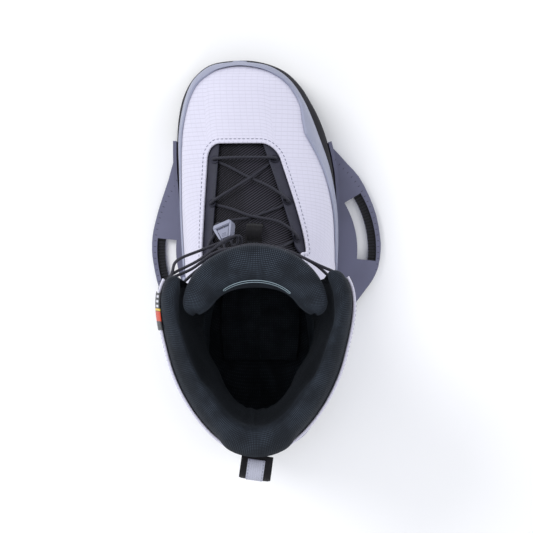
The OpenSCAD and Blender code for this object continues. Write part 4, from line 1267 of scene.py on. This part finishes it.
# ---------------------------------------------------------------- heel loop and tag
loop_frame = turned((np.array([1.0, 0, 0]), np.array([0, 1.0, 0]), np.array([0, 0, 1.0]),
                     np.array(JOINTS["heel_loop_swing"]["pos_m"]) / MM), -8)


def loop_line(r, y0, z0):
    arc = [(-8.0 + r * math.cos(t), r * math.sin(t)) for t in np.linspace(math.pi / 2, 3 * math.pi / 2, 40)]
    top = [(y0 + (-8.0 - y0) * k, z0 + (r - z0) * smooth(k)) for k in np.linspace(0, 1, 12)[:-1]]
    low = [(y, -z) for y, z in top[::-1]]
    return [(y, z) for y, z in top + arc + low]


line = loop_line(5.85, 2.6, 1.3)
path = np.array([in_frame(loop_frame, (0, y, z)) for y, z in line])
loop = strap_mesh("heel_pull_loop", path, loop_frame[0], 22, 1.3)
soften(loop, 0.3, 2, 60)
piece(loop, m_web, "heel_loop", "webbing", "heel_loop")
line = [(y, z) for y, z in loop_line(6.72, 2.6, 2.17) if y < 0.15]
path = np.array([in_frame(loop_frame, (-0.3, y, z)) for y, z in line])
stripe = strap_mesh("heel_loop_light_band", path, loop_frame[0], 12, 0.5)
piece(stripe, m_web_light, "heel_loop", "webbing_light", "heel_loop_stripe")
for k, x in enumerate((-5.4, 4.8)):
    pts = np.array([in_frame(loop_frame, (x, y, z)) for y, z in line])
    t = unit(np.gradient(pts, axis=0))
    nrm = unit(np.cross(loop_frame[0], t))
    mid = in_frame(loop_frame, (x, -8, 0))
    nrm = nrm * np.sign(((pts - mid) * nrm).sum(1))[:, None]
    row = stitch_row("heel_loop_stitch_%d" % k, pts + nrm * 0.25, nrm, 2.4, 1.6, 0.2)
    piece(row, m_thread_grey, "heel_loop", "webbing_light", "heel_loop_stripe")

us6, bs6 = np.linspace(15.55, 16.86, 14), np.linspace(276, 297, 30)
over = np.interp(us6, [16.1, 16.4, 16.65, 16.86], [0, 0.5, 1.6, 2.8])[:, None]
g = surf(us6[:, None], bs6[None], -1.55 + over)
g2 = surf(us6[:, None], bs6[None], -0.75 + over)
arc = run_of(g[7])
uv = np.stack([(arc[-1] - arc)[None, :] * np.ones((14, 1)),
               np.linspace(-7, 7, 14)[:, None] * np.ones((1, 30))], -1)
tag = shell_mesh("side_tag_label", g, g2, uv=uv)
soften(tag, 0.25, 2, 60)
piece(tag, m_tag, "cuff", "woven_label", "side_tag")

# ---------------------------------------------------------------- liner
rows_u = np.concatenate([[1.5, 1.8, 2.2, 2.6, 3, 3.5, 4, 4.4, 4.9], np.linspace(5.2, 12, 46),
                         np.linspace(12, 13.05, 8)[1:]])
outer, inner = [], []
for u in rows_u:
    ue = min(u, 12)
    a, c = opening(ue, -1) - 4, opening(ue, 1) + 4
    b = np.concatenate([-180 + (a + 180) * np.arange(50) / 50, a + (c - a) * np.arange(24) / 24,
                        c + (180 - c) * np.arange(50) / 50])
    outer.append(surf(u, b, LINER_OUT))
    inner.append(surf(mix(2.4, 3.7, (u - 1.5) / 2.2) if u < 3.7 else u, b, LINER_IN))
outer, inner = np.array(outer), np.array(inner)
keep = np.ones((len(rows_u) - 1, 124), bool)
keep[8:, 50:74] = False
liner = shell_mesh("liner_lining", outer, inner, True, keep, True)
soften(liner, 1.5, 2, 50)
piece(liner, m_liner, FLEX, "liner_foam", "liner_foot", "liner_flex_zone")

# ---------------------------------------------------------------- stage, light and camera
def floor_material():
    p = Paint("studio_floor", rough=0.85, spec=0.15)
    x, y, z, v = p.place()
    return p.done(p.colour(p.noise(v, 0.004, 2), (0.955, 0.955, 0.96), (0.97, 0.97, 0.97)))


bpy.ops.mesh.primitive_plane_add(size=12, location=(0, 0, -0.0006))
floor = bpy.context.object
floor.name = "studio_floor"
floor.data.materials.append(floor_material())


def area(name, where, at, size, power):
    light = bpy.data.lights.new(name, "AREA")
    light.shape, light.size, light.energy = "DISK", size, power
    ob = bpy.data.objects.new(name, light)
    ob.location = where
    ob.rotation_euler = (Vector(at) - Vector(where)).to_track_quat("-Z", "Y").to_euler()
    bpy.context.scene.collection.objects.link(ob)


area("key", (-1.0, 0.75, 1.5), (0, 0, 0.1), 0.9, 14.5)
area("fill", (1.1, 0.5, 1.3), (0, 0, 0.1), 1.2, 4)
area("back", (-0.3, -1.3, 1.2), (0, -0.05, 0.2), 0.8, 6)
world = bpy.data.worlds.new("studio")
world.use_nodes = True
world.node_tree.nodes["Background"].inputs[0].default_value = (0.93, 0.95, 1.0, 1)
world.node_tree.nodes["Background"].inputs[1].default_value = 0.78
bpy.context.scene.world = world
bpy.context.scene.view_settings.view_transform = "Standard"

cam = bpy.data.cameras.new("camera")
cam.sensor_width, cam.lens = 36, 127.1144465
cam.clip_end = 20
view = bpy.data.objects.new("camera", cam)
view.location = (-0.00016, -0.01346, 1.5)
view.rotation_euler = (0, 0, 0)          # straight down
bpy.context.scene.collection.objects.link(view)
bpy.context.scene.camera = view
